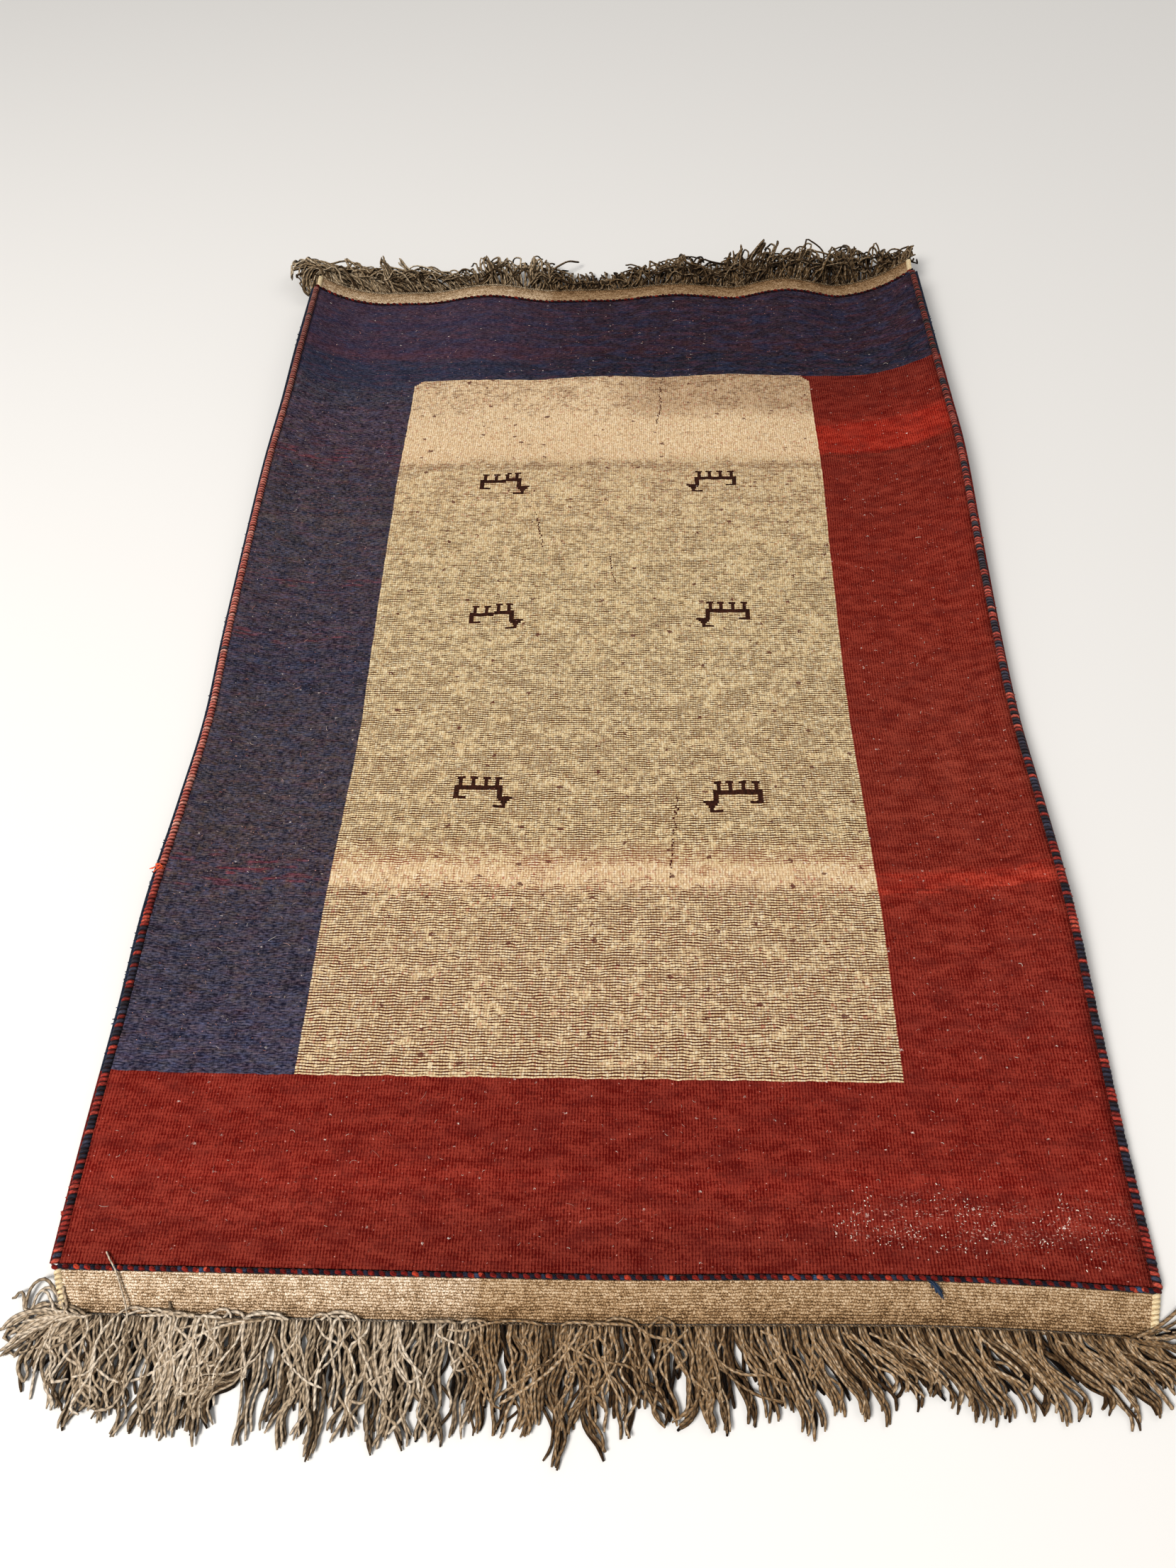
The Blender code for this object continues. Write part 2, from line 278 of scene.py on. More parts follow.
def sleeve(name, across, section, place_it, material_of=None):
    """A closed slab: a grid whose one way runs across it and the other round its section."""
    bm = bmesh.new()
    bmesh.ops.create_grid(bm, x_segments=len(section) - 1, y_segments=across, size=0.5)
    if material_of:
        for face in bm.faces:
            face.material_index = material_of((face.calc_center_median().x + 0.5) * (len(section) - 1))
    column = np.array([round((v.co.x + 0.5) * (len(section) - 1)) for v in bm.verts])
    row = np.array([round((v.co.y + 0.5) * across) for v in bm.verts])
    for vert, place in zip(bm.verts, place_it(section[column], row)):
        vert.co = place
    bmesh.ops.remove_doubles(bm, verts=[v for v in bm.verts if v.is_boundary], dist=GAP / 10)
    ends = bmesh.ops.holes_fill(bm, edges=[e for e in bm.edges if e.is_boundary], sides=0)["faces"]
    bmesh.ops.triangulate(bm, faces=ends)
    bmesh.ops.recalc_face_normals(bm, faces=bm.faces)
    if bm.calc_volume(signed=True) < 0:
        bmesh.ops.reverse_faces(bm, faces=bm.faces)
    mesh = bpy.data.meshes.new(name)
    bm.to_mesh(mesh)
    bm.free()
    return mesh


def place_body(section, row):
    """Cloth measure of the body's section at its half rows: ridges on the rows, sunk wefts between."""
    part, splay, lift = section.T
    along = -BODY_END + row * ROW_PITCH / 2
    u = part * half_width(part, along)
    u += np.sign(part) * splay * np.where(part < 0, follow(SPLAYS, 1, along), follow(SPLAYS, 2, along))
    lift = np.where((lift == THICKNESS) & (row % 2 == 0), THICKNESS - WEFT_DEPTH, lift)
    return np.stack([u, along, lift], axis=1)


def hand_wobble(flat):
    """How far the weaver's rows and warps stray, faded out towards the body's ends."""
    u, v = flat[:, 0], flat[:, 1]
    fade = ease((BODY_END - np.abs(v)) / 0.03)
    rows = (
        0.00045 * np.sin(u * 61 + 2.1 * np.sin(v * 9.0) + v * 41)
        + 0.00040 * np.sin(u * 113 - v * 67 + 1.3 * np.sin(v * 21))
        + 0.00030 * np.sin(u * 190 + v * 150)
        + 0.00120 * np.sin(u * 4.2 + 1.1 * np.sin(v * 3.1)) * swell(v / BODY_END)
    )
    warps = 0.0006 * np.sin(v * 23 + u * 17) + 0.0004 * np.sin(v * 71 - u * 31)
    inside = swell(u / WEAVE_HALF_WIDTH)
    return np.stack([warps * fade * inside, rows * fade, np.zeros(len(u))], axis=1)


back = [(-1 + 2 * i / BACK_COLUMNS, 0.0, THICKNESS) for i in range(BACK_COLUMNS + 1)]
right_wall = [(1, 0.0, 0.0030), (1, 0.9, 0.0023), (1, 1.0, 0.0011), (1, 0.96, 0.0)]
pile_side = [(1 - 2 * i / PILE_COLUMNS, 0.0, 0.0) for i in range(PILE_COLUMNS + 1)]
left_wall = [(-1, splay, lift) for _, splay, lift in reversed(right_wall)]
section = np.array(back + right_wall + pile_side + left_wall + back[:1])
mesh = sleeve("knotted_body", 2 * KNOT_ROWS, section, place_body, lambda column: int(column > BACK_COLUMNS))
flat = points_of(mesh)
weave = flat.copy()
weave[:, 0] *= WEAVE_HALF_WIDTH / half_width(flat[:, 0], flat[:, 1])
set_attribute(mesh, "weave", weave)
mesh.vertices.foreach_set("co", lay(flat + hand_wobble(flat)).ravel())

# Hand-knotted wool from its back, matt. Each row of knots is a line of small
# pads between sunk wefts, and the dyer's batches change from row to row.
wool, tree, shader = new_material("hand_knotted_wool_back", roughness=0.95)
place = add("Attribute", attribute_name="weave").outputs["Vector"]
sway = add("TexNoise", {"Vector": place, "Scale": 62.0, "Detail": 2.0})
sway = add("VectorMath", (sway.outputs["Color"], (0.5, 0.5, 0.5)), operation="SUBTRACT")
sway = add("VectorMath", (sway, (0.0022, 0.0040, 0.0)), operation="MULTIPLY")
place = add("VectorMath", (place, sway), operation="ADD").outputs["Vector"]
axes = add("SeparateXYZ", (place,))
across, along = axes.outputs["X"], axes.outputs["Y"]
row = add("Math", (add("Math", (along, BODY_END), operation="ADD"), ROW_PITCH), operation="DIVIDE")
row_number = add("Math", (row,), operation="FLOOR")
row_part = add("Math", (add("Math", (row,), operation="FRACT"), 0.5), operation="SUBTRACT")
to_weft = add("Math", (row_part,), operation="ABSOLUTE")
column = add("Math", (across, KNOT), operation="DIVIDE")
column_number = add("Math", (column,), operation="FLOOR")
column_part = add("Math", (add("Math", (column,), operation="FRACT"), 0.5), operation="SUBTRACT")
to_warp = add("Math", (column_part,), operation="ABSOLUTE")
node = add("Math", (column, 2.0), operation="MULTIPLY")
node_number = add("Math", (node,), operation="FLOOR")
node_part = add("Math", (add("Math", (node,), operation="FRACT"), 0.5), operation="SUBTRACT")
knot_chance = add("TexWhiteNoise", (add("CombineXYZ", (column_number, row_number)),), noise_dimensions="2D")
node_chance = add("TexWhiteNoise", (add("CombineXYZ", (node_number, row_number)),), noise_dimensions="2D")


def streaks(length, tallness, seed, detail=1.0):
    """Noise in the weave, drawn out across it, with its sizes in metres."""
    scaled = add("VectorMath", (place, (1 / length, 1 / tallness, 0.0)), operation="MULTIPLY")
    return add("TexNoise", {"Vector": scaled, "W": seed, "Scale": 1.0, "Detail": detail},
               noise_dimensions="4D")


def row_streaks(length, seed):
    """Noise along each row of knots that has nothing to do with the next row's."""
    own = add("Math", (row_number, 3.71), operation="MULTIPLY")
    own = add("Math", (own, seed), operation="ADD")
    run = add("Math", (across, 1 / length), operation="MULTIPLY")
    return add("TexNoise", {"Vector": add("CombineXYZ", (run, own)), "Scale": 1.0, "Detail": 2.0},
               noise_dimensions="2D")


# Place along the rug as a part of its length, with a ragged edge for the
# dyer's batches, which end where a skein ran out
length_part = add("MapRange", (along, -BODY_END, BODY_END, 0.0, 1.0))
ragged = add("Math", (row_streaks(0.05, 3.0), 0.5), operation="SUBTRACT")
slow = add("Math", (streaks(0.30, 0.05, 4.0), 0.5), operation="SUBTRACT")
ragged = add("Math", (add("Math", (ragged, 0.016), operation="MULTIPLY"),
                      add("Math", (slow, 0.030), operation="MULTIPLY")), operation="ADD")
slanted = add("MapRange", (across, 0.36, 0.58, 0.0, -0.008))
ragged = add("Math", (ragged, slanted), operation="ADD")
ragged_part = add("Math", (length_part, ragged), operation="ADD")


def along_rug(part, *stops):
    """A dye or a share along the rug, from (metres along, hex colour or share) pairs."""
    return add("ValToRGB", (part,), [
        ((at + BODY_END) / (2 * BODY_END), value if isinstance(value, str) else (value, value, value, 1.0))
        for at, value in stops
    ])


navy_dye = along_rug(
    ragged_part,
    (-0.673, "#423f5a"), (-0.600, "#423e54"), (-0.540, "#403c4c"), (-0.420, "#443c48"),
    (-0.405, "#4e3c44"), (-0.375, "#4c3c44"), (-0.340, "#4a4042"), (-0.110, "#453e46"),
    (-0.060, "#373446"), (0.000, "#383446"), (0.020, "#4a3844"), (0.055, "#403a46"),
    (0.125, "#4c3c46"), (0.160, "#443e48"), (0.262, "#464048"), (0.276, "#665650"),
    (0.290, "#463e44"), (0.390, "#43363f"), (0.432, "#563842"), (0.455, "#4f3947"),
    (0.560, "#513f4f"), (0.600, "#413f4b"), (0.656, "#353848"), (0.703, "#353646"),
    (0.716, "#603a40"), (0.742, "#583844"), (0.757, "#463646"), (0.790, "#523e48"),
    (0.815, "#45364a"), (0.850, "#553e48"), (0.889, "#493542"),
)
red_dye = along_rug(
    ragged_part,
    (-0.889, "#761b13"), (-0.845, "#7a1e16"), (-0.830, "#8e332a"), (-0.816, "#7e1e16"),
    (-0.790, "#902b22"), (-0.770, "#821e16"), (-0.673, "#84221a"), (-0.600, "#822620"),
    (-0.480, "#84291f"), (-0.431, "#86291f"), (-0.425, "#b04434"), (-0.408, "#aa3e2e"), (-0.401, "#80281e"),
    (-0.250, "#853629"), (-0.090, "#833226"), (0.030, "#842c1f"), (0.180, "#842a1e"),
    (0.300, "#7f281c"), (0.410, "#80271b"), (0.424, "#6a1a10"), (0.437, "#a82e1d"),
    (0.500, "#aa301e"), (0.518, "#7f1f14"), (0.640, "#6e1910"),
)
pale_dye = along_rug(
    ragged_part,
    (-0.673, "#dcb994"), (-0.560, "#debb98"), (-0.430, "#dfbe94"), (-0.404, "#eec09c"),
    (-0.386, "#ecbc98"), (-0.372, "#d8bd8c"), (-0.250, "#d4b98a"), (-0.060, "#d6bf90"),
    (0.100, "#dac28f"), (0.300, "#d9bb8c"), (0.395, "#dab78c"), (0.412, "#c39678"),
    (0.430, "#ffcca8"), (0.520, "#ffd2b0"), (0.575, "#f8ccac"), (0.640, "#ecc0a2"),
)

# The pale field: cream and sand pads, with the dark brown weft showing between
# the rows, more in some stretches than in others
pad_tone = add("ValToRGB", (node_chance.outputs["Value"],), (
    (0.0, "#c4a47a"), (0.25, "#e6cda2"), (0.55, "#f6e2b6"), (0.85, "#feeec6"), (1.0, "#fff6da"),
))
pale = add("MixRGB", (0.30, pad_tone, pale_dye))
cloud = add("MapRange", (streaks(0.06, 0.022, 11.0, 3.0), 0.34, 0.70, 0.0, 1.0))
skein = row_streaks(0.011, 0.0)
showing = add("Math", (add("Math", (cloud, 0.26), operation="MULTIPLY"), skein), operation="ADD")
tighter = along_rug(
    length_part,
    (-0.673, 0.66), (-0.420, 0.63), (-0.404, 0.25), (-0.388, 0.30), (-0.370, 0.60), (-0.200, 0.58),
    (0.050, 0.52), (0.395, 0.46), (0.408, 0.66), (0.428, 0.14), (0.520, 0.14), (0.575, 0.36), (0.640, 0.42),
)
tighter = add("MapRange", (tighter, 0.0, 1.0, -0.35, 0.35))
showing = add("Math", (showing, tighter), operation="ADD")
showing = add("MapRange", (showing, 0.42, 0.76, 0.0, 1.0), interpolation_type="SMOOTHSTEP")
dots = add("Math", (to_warp, 0.10), operation="MULTIPLY")
line_from = add("MapRange", (showing, 0.0, 1.0, 0.43, 0.23))
line_from = add("Math", (line_from, dots), operation="SUBTRACT")
line_to = add("Math", (line_from, 0.10), operation="ADD")
weft_line = add("MapRange", (to_weft, line_from, line_to, 0.0, 1.0), interpolation_type="SMOOTHSTEP")
line_depth = add("MapRange", (showing, 0.0, 0.6, 0.50, 1.0))
weft_line = add("Math", (weft_line, line_depth), operation="MULTIPLY")
uneven = add("MapRange", (streaks(0.0045, 0.0035, 12.0, 2.0), 0.35, 0.65, 0.45, 0.0))
pale = add("MixRGB", (uneven, pale, "#b8925e"))
warp_gap = add("MapRange", (to_warp, 0.30, 0.50, 0.0, 0.85))
broken = add("MapRange", (streaks(0.007, 0.012, 14.0, 2.0), 0.35, 0.65, 0.15, 1.0))
warp_gap = add("Math", (warp_gap, broken), operation="MULTIPLY")
pale = add("MixRGB", (warp_gap, pale, "#7a5630"))
warm = add("ValToRGB", (length_part,), (
    (0.0, "#441a0e"), (0.26, "#481c0e"), (0.285, "#7a3626"), (0.31, "#43200c"), (0.60, "#44240e"),
    (0.72, "#562a16"), (1.0, "#6a3c24"),
))
pale = add("MixRGB", (weft_line, pale, warm))
# Painted shade: the right half of the pale field's far end is painted darker
field_far_shade = add("MapRange", (across, -0.02, 0.08, 0.0, 0.55))
field_far_shade = add("Math", (field_far_shade, add("MapRange", (along, 0.525, 0.560, 0.0, 1.0))), operation="MULTIPLY")
pale = add("MixRGB", (field_far_shade, pale, add("MixRGB", (1.0, pale, "#c0b0a8"), blend_type="MULTIPLY")))
madder = add("Math", (row_streaks(0.006, 40.0), 0.685), operation="GREATER_THAN")
madder_share = add("ValToRGB", (length_part,), (
    (0.0, "#ffffff"), (0.24, "#c0c0c0"), (0.27, "#ffffff"), (0.30, "#909090"), (0.45, "#808080"),
    (0.80, "#e0e0e0"),
))
madder = add("Math", (madder, add("Math", (madder_share, 0.55), operation="MULTIPLY")), operation="MULTIPLY")
pale = add("MixRGB", (madder, pale, "#a8443a"))
blot = add("VectorMath", (place, (1 / 0.052, 1 / 0.040, 0.0)), operation="MULTIPLY")
blot_drift = add("TexNoise", {"Vector": place, "Scale": 260.0, "Detail": 1.0})
blot_drift = add("VectorMath", (blot_drift.outputs["Color"], (0.22, 0.18, 0.0)), operation="MULTIPLY")
blot = add("TexVoronoi", {"Vector": add("VectorMath", (blot, blot_drift), operation="ADD"), "Scale": 1.0},
           voronoi_dimensions="2D")
blot_size = add("SeparateXYZ", (blot.outputs["Color"],))
blot_size = add("Math", (blot_size.outputs["X"], 0.085), operation="MULTIPLY")
blot_rim = add("Math", (blot_size, 0.020), operation="SUBTRACT")
blot = add("MapRange", (blot.outputs["Distance"], blot_size, blot_rim, 0.0, 0.85))
pale = add("MixRGB", (blot, pale, "#54221c"))

# The red and navy borders: here the wefts hide and each warp shows as a fine
# rib, with duller and brighter fibres mixed in the yarn
FIELD = {"left": -0.372, "right": 0.3635, "near": -0.673, "far": 0.647}
rib = add("MapRange", (to_warp, 0.08, 0.46, 0.0, 1.0), interpolation_type="SMOOTHSTEP")
fibres = streaks(0.0013, 0.0042, 21.0, 3.0)
flecks = streaks(0.0042, 0.0016, 22.0, 2.0)
mottle = streaks(0.034, 0.012, 31.0, 4.0)
dashes = streaks(0.0075, 0.0015, 23.0, 3.0)
# Painted shade in the sunk lines between the knot rows, where the wefts hide
sunk = add("MapRange", (to_weft, 0.28, 0.50, 0.0, 0.20))
one_knot = add("Math", (knot_chance.outputs["Value"], 0.5), operation="SUBTRACT")


def weigh(*parts):
    """The sum of several patterns, each times its weight."""
    total = None
    for pattern, weight in parts:
        part = add("Math", (pattern, weight), operation="MULTIPLY")
        total = part if total is None else add("Math", (total, part), operation="ADD")
    return total


red_light = weigh((rib, 0.50), (fibres, 1.8), (flecks, 0.60), (mottle, 1.5), (sunk, -1.0), (one_knot, 0.16))
red_light = add("MapRange", (red_light, 1.78, 2.50, 0.0, 1.0))
navy_light = weigh((rib, 0.06), (fibres, 0.5), (flecks, 0.9), (mottle, 0.9), (sunk, -1.0), (one_knot, 0.20),
                   (dashes, 2.4))
navy_light = add("MapRange", (navy_light, 2.06, 2.90, 0.0, 1.0))
red_dye = add("MixRGB", (1.0, red_dye, "#ffcec4"), blend_type="MULTIPLY")
# Painted shade: the near red border is painted darker in its middle, for the light's falloff there
near_middle_shade = add("MapRange", (add("Math", (across,), operation="ABSOLUTE"), 0.10, 0.42, 0.55, 0.0))
near_end = add("Math", (along, FIELD["near"]), operation="LESS_THAN")
near_middle_shade = add("Math", (near_middle_shade, near_end), operation="MULTIPLY")
shaded_red = add("MixRGB", (1.0, red_dye, "#dcb8ac"), blend_type="MULTIPLY")
red_dye = add("MixRGB", (near_middle_shade, red_dye, shaded_red))
red_deep = add("MixRGB", (1.0, red_dye, "#b47a70"), blend_type="MULTIPLY")
red_pale = add("MixRGB", (0.105, red_dye, "#f48c70"))
red = add("MixRGB", (red_light, red_deep, red_pale))
dark_knot = add("Math", (row_streaks(0.010, 70.0), 0.66), operation="GREATER_THAN")
red = add("MixRGB", (add("Math", (dark_knot, 0.30), operation="MULTIPLY"), red, "#400c0a"))
dusk = add("MapRange", (streaks(0.045, 0.022, 39.0, 4.0), 0.48, 0.66, 0.0, 0.42))
red = add("MixRGB", (dusk, red, "#5c1a16"))

navy_dye = add("MixRGB", (0.09, navy_dye, "#34407c"))
# Partly painted shade and partly a duller dye: the far navy border darkens towards its right, away from the
# lamp at the near left
far_right = add("MapRange", (across, -0.34, 0.02, 0.0, 1.0), interpolation_type="SMOOTHSTEP")
far_end = add("MapRange", (along, 0.600, 0.660, 0.0, 1.0))
navy_far_shade = add("Math", (far_right, far_end), operation="MULTIPLY")
shaded_navy = add("MixRGB", (1.0, navy_dye, "#a8969e"), blend_type="MULTIPLY")
navy_dye = add("MixRGB", (navy_far_shade, navy_dye, shaded_navy))
bluish = add("MapRange", (streaks(0.038, 0.014, 35.0, 3.0), 0.46, 0.62, 0.0, 0.52))
navy_mix = add("MixRGB", (bluish, navy_dye, "#2a3a5e"))
purplish = add("MapRange", (streaks(0.034, 0.010, 36.0, 3.0), 0.50, 0.66, 0.0, 0.46))
navy_mix = add("MixRGB", (purplish, navy_mix, "#58323e"))
olive = add("MapRange", (streaks(0.030, 0.010, 38.0, 3.0), 0.50, 0.66, 0.0, 0.40))
olive = add("Math", (olive, add("Math", (1.0, far_end), operation="SUBTRACT")), operation="MULTIPLY")
navy_mix = add("MixRGB", (olive, navy_mix, "#4c4438"))
shadow = add("MixRGB", (far_end, "#74747c", "#9c9ca4"))
navy_deep = add("MixRGB", (1.0, navy_mix, shadow), blend_type="MULTIPLY")
faded = add("MapRange", (far_end, 0.0, 1.0, 0.098, 0.042))
fibre_tint = add("MapRange", (streaks(0.012, 0.003, 37.0, 2.0), 0.40, 0.60, 0.0, 1.0))
navy_pale = add("MixRGB", (faded, navy_mix, add("MixRGB", (fibre_tint, "#f2d2b4", "#c4c8ee"))))
navy = add("MixRGB", (navy_light, navy_deep, navy_pale))
brown_share = add("ValToRGB", (length_part,), (
    (0.0, "#202020"), (0.22, "#303030"), (0.27, "#c8c8c8"), (0.42, "#a0a0a0"), (0.46, "#404040"),
    (0.60, "#b0b0b0"), (0.74, "#a0a0a0"), (0.82, "#303030"), (1.0, "#404040"),
))
brown_dash = add("Math", (row_streaks(0.009, 80.0), 0.60), operation="GREATER_THAN")
brown_dash = add("Math", (brown_dash, add("Math", (brown_share, 0.45), operation="MULTIPLY")),
                 operation="MULTIPLY")
navy = add("MixRGB", (brown_dash, navy, "#66503e"))
thread_share = along_rug(
    length_part,
    (-0.430, 0.05), (-0.405, 0.75), (-0.385, 0.80), (-0.365, 0.10), (0.000, 0.08), (0.018, 0.60),
    (0.040, 0.10), (0.118, 0.12), (0.132, 0.60), (0.150, 0.12), (0.415, 0.15), (0.435, 0.75),
    (0.460, 0.20), (0.560, 0.12),
)
threads = add("MapRange", (row_streaks(0.055, 120.0), 0.55, 0.66, 0.0, 1.0))
threads = add("Math", (threads, thread_share), operation="MULTIPLY")
navy = add("MixRGB", (threads, navy, add("MixRGB", (navy_light, "#48202a", "#9c4a50"))))

# Where the colours meet: the pale field in its red and navy frame, with its
# two far corners cut by a small stair
FIELD_MIDDLE = (FIELD["left"] + FIELD["right"]) / 2
FIELD_HALF = (FIELD["right"] - FIELD["left"]) / 2
STAIR = 0.016
stair = add("MapRange", (along, FIELD["far"] - STAIR, FIELD["far"], 0.0, STAIR))
reach = add("Math", (FIELD_HALF, stair), operation="SUBTRACT")
knot_u = add("Math", (add("Math", (column_number, 0.5), operation="ADD"), KNOT), operation="MULTIPLY")
off_middle = add("Math", (add("Math", (knot_u, FIELD_MIDDLE), operation="SUBTRACT"),), operation="ABSOLUTE")
in_width = add("Math", (off_middle, reach), operation="LESS_THAN")
past_near = add("Math", (along, FIELD["near"]), operation="GREATER_THAN")
before_far = add("Math", (along, FIELD["far"]), operation="LESS_THAN")
in_field = add("Math", (in_width, past_near), operation="MULTIPLY")
in_field = add("Math", (in_field, before_far), operation="MULTIPLY")
right_half = add("Math", (across, 0.0), operation="GREATER_THAN")
is_red = add("Math", (add("Math", (right_half, before_far), operation="MULTIPLY"),
                      add("Math", (1.0, past_near), operation="SUBTRACT")), operation="MAXIMUM")
cloth = add("MixRGB", (in_field, add("MixRGB", (is_red, navy, red)), pale))

# The camels, a small woven motif three times on each side, feet away from the
# viewer and heads towards the middle. In knots and rows from the body's middle:
# the body, its legs and feet, the tail side and the neck and head.
CAMEL = (
    (-9.5, 9.5, -1, 0),
    (-8.0, -6.5, 1, 3), (-3.5, -2.0, 1, 3), (1.5, 3.0, 1, 3), (6.5, 8.0, 1, 3),
    (-9.0, -6.0, 4, 4), (-4.5, -1.5, 4, 4), (0.5, 3.5, 4, 4), (5.5, 8.5, 4, 4),
    (7.5, 9.5, -5, -2), (4.5, 7.5, -5, -5),
    (-9.5, -7.5, -4, -2), (-13.5, -7.5, -5, -5), (-12.5, -8.0, -6, -6), (-11.5, -9.0, -7, -7),
    (-11.0, -9.5, -8, -8), (-11.0, -6.0, -9, -9),
)
# Part of the length from which each pair stands; its distance from the middle
# on the left and right; its body row on the left and right
CAMEL_PAIRS = (
    (0.00, 0.1805, 0.1880, -0.2570, -0.2613),
    (0.43, 0.1850, 0.1900, 0.0710, 0.0736),
    (0.60, 0.1890, 0.1790, 0.3700, 0.3750),
)
pair_stops = [(at, (left, right, left_row + 0.5, right_row + 0.5))
              for at, left, right, left_row, right_row in CAMEL_PAIRS]
pair = add("ValToRGB", (length_part,), pair_stops)
pair.color_ramp.interpolation = "CONSTANT"
pair_parts = add("SeparateXYZ", (pair,))
middle_u = add("Mix", {0: right_half, 2: pair_parts.outputs["X"], 3: pair_parts.outputs["Y"]})
middle_v = add("Mix", {0: right_half, 2: pair_parts.outputs["Z"], 3: pair.outputs["Alpha"]})
node_u = add("Math", (add("Math", (node_number, 0.5), operation="ADD"), KNOT / 2), operation="MULTIPLY")
camel_u = add("Math", (add("Math", (node_u,), operation="ABSOLUTE"), middle_u), operation="SUBTRACT")
camel_u = add("Math", (camel_u, KNOT), operation="DIVIDE")
row_v = add("Math", (add("Math", (row_number, 0.5), operation="ADD"), ROW_PITCH), operation="MULTIPLY")
row_v = add("Math", (row_v, BODY_END - 0.5), operation="SUBTRACT")
camel_v = add("Math", (add("Math", (row_v, middle_v), operation="SUBTRACT"), ROW_PITCH), operation="DIVIDE")
slant = add("Math", (camel_u, 0.07), operation="MULTIPLY")
far_two = add("Math", (length_part, CAMEL_PAIRS[1][0]), operation="GREATER_THAN")
left_far = add("Math", (far_two, add("Math", (1.0, right_half), operation="SUBTRACT")), operation="MULTIPLY")
camel_v = add("Math", (camel_v, add("Math", (slant, left_far), operation="MULTIPLY")), operation="ADD")
camel = None
for u_from, u_to, row_from, row_to in CAMEL:
    middle, half = (u_from + u_to) / 2, (u_to - u_from) / 2
    in_u = add("Math", (camel_u, middle, half), operation="COMPARE")
    middle, half = (row_from + row_to) / 2, (row_to - row_from) / 2 + 0.5
    in_v = add("Math", (camel_v, middle, half), operation="COMPARE")
    block = add("Math", (in_u, in_v), operation="MULTIPLY")
    camel = block if camel is None else add("Math", (camel, block), operation="MAXIMUM")
camel_wool = add("MixRGB", (node_chance.outputs["Value"], "#24120c", "#3e2016"))
cloth = add("MixRGB", (camel, cloth, camel_wool))

# Lint: undyed hairs and bits of straw caught in the yarn, most of them tiny,
# and thickest where the near right border is worn
worn_u = add("MapRange", (across, 0.24, 0.34, 0.0, 1.0))
worn_v = add("MapRange", (add("Math", (add("Math", (along, 0.832), operation="ADD"),), operation="ABSOLUTE"),
                          0.010, 0.038, 1.0, 0.0))
worn = add("Math", (worn_u, worn_v), operation="MULTIPLY")
wisps = add("TexNoise", {"Vector": place, "Scale": 700.0, "Detail": 2.0})
wisps = add("VectorMath", (wisps.outputs["Color"], (0.26, 0.26, 0.0)), operation="MULTIPLY")
for cell, largest, wear, lint, seed in (
    (0.013, 0.085, 0.10, "#e0a496", 0.0), (0.031, 0.060, 0.05, "#fff0e4", 3.1),
):
    spots = add("VectorMath", (place, (1 / cell, 1.5 / cell, 0.0)), operation="MULTIPLY")
    spots = add("VectorMath", (spots, wisps), operation="ADD")
    spots = add("VectorMath", (spots, (seed, seed, 0.0)), operation="ADD")
    cells = add("TexVoronoi", {"Vector": spots, "Scale": 1.0}, voronoi_dimensions="2D")
    chances = add("SeparateXYZ", (cells.outputs["Color"],))
    size = add("Math", (chances.outputs["X"], 3.0), operation="POWER")
    size = add("Math", (size, largest), operation="MULTIPLY")
    shabby = add("Math", (chances.outputs["Z"], worn), operation="MULTIPLY")
    size = add("Math", (size, add("Math", (shabby, wear), operation="MULTIPLY")), operation="ADD")
    rim = add("Math", (size, 0.045), operation="SUBTRACT")
    spot = add("MapRange", (cells.outputs["Distance"], size, rim, 0.0, 1.0))
    spot = add("Math", (spot, add("MapRange", (chances.outputs["Y"], 0.0, 1.0, 0.20, 0.95))),
               operation="MULTIPLY")
    cloth = add("MixRGB", (spot, cloth, lint))

# Scuffs: short pale marks where the same place has lost its nap
scuffs = add("MapRange", (streaks(0.0042, 0.0020, 91.0, 3.0), 0.58, 0.68, 0.0, 0.75))
scuffed = add("MapRange", (streaks(0.040, 0.015, 92.0, 2.0), 0.44, 0.62, 0.0, 1.0))
scuffs = add("Math", (scuffs, add("Math", (scuffed, worn), operation="MULTIPLY")), operation="MULTIPLY")
cloth = add("MixRGB", (scuffs, cloth, "#eabfae"))
tree.links.new(cloth.outputs[0], shader.inputs["Base Color"])
node_swell = add("Math", (node_part, node_part), operation="MULTIPLY")
ribbed = add("Math", (in_field, is_red), operation="MAXIMUM")
ribbed = add("MapRange", (ribbed, 0.0, 1.0, 0.25, 1.0))
node_swell = add("Math", (node_swell, ribbed), operation="MULTIPLY")
row_swell = add("Math", (row_part, row_part), operation="MULTIPLY")
height = add("Math", (1.0, add("Math", (node_swell, row_swell), operation="ADD")), operation="SUBTRACT")
height = add("Math", (height, streaks(0.0012, 0.0012, 51.0, 2.0)), operation="ADD")
height = add("Math", (height, flecks), operation="ADD")
bump = add("Bump", {"Height": height, "Strength": 0.9, "Distance": 0.0009})
tree.links.new(bump.outputs[0], shader.inputs["Normal"])

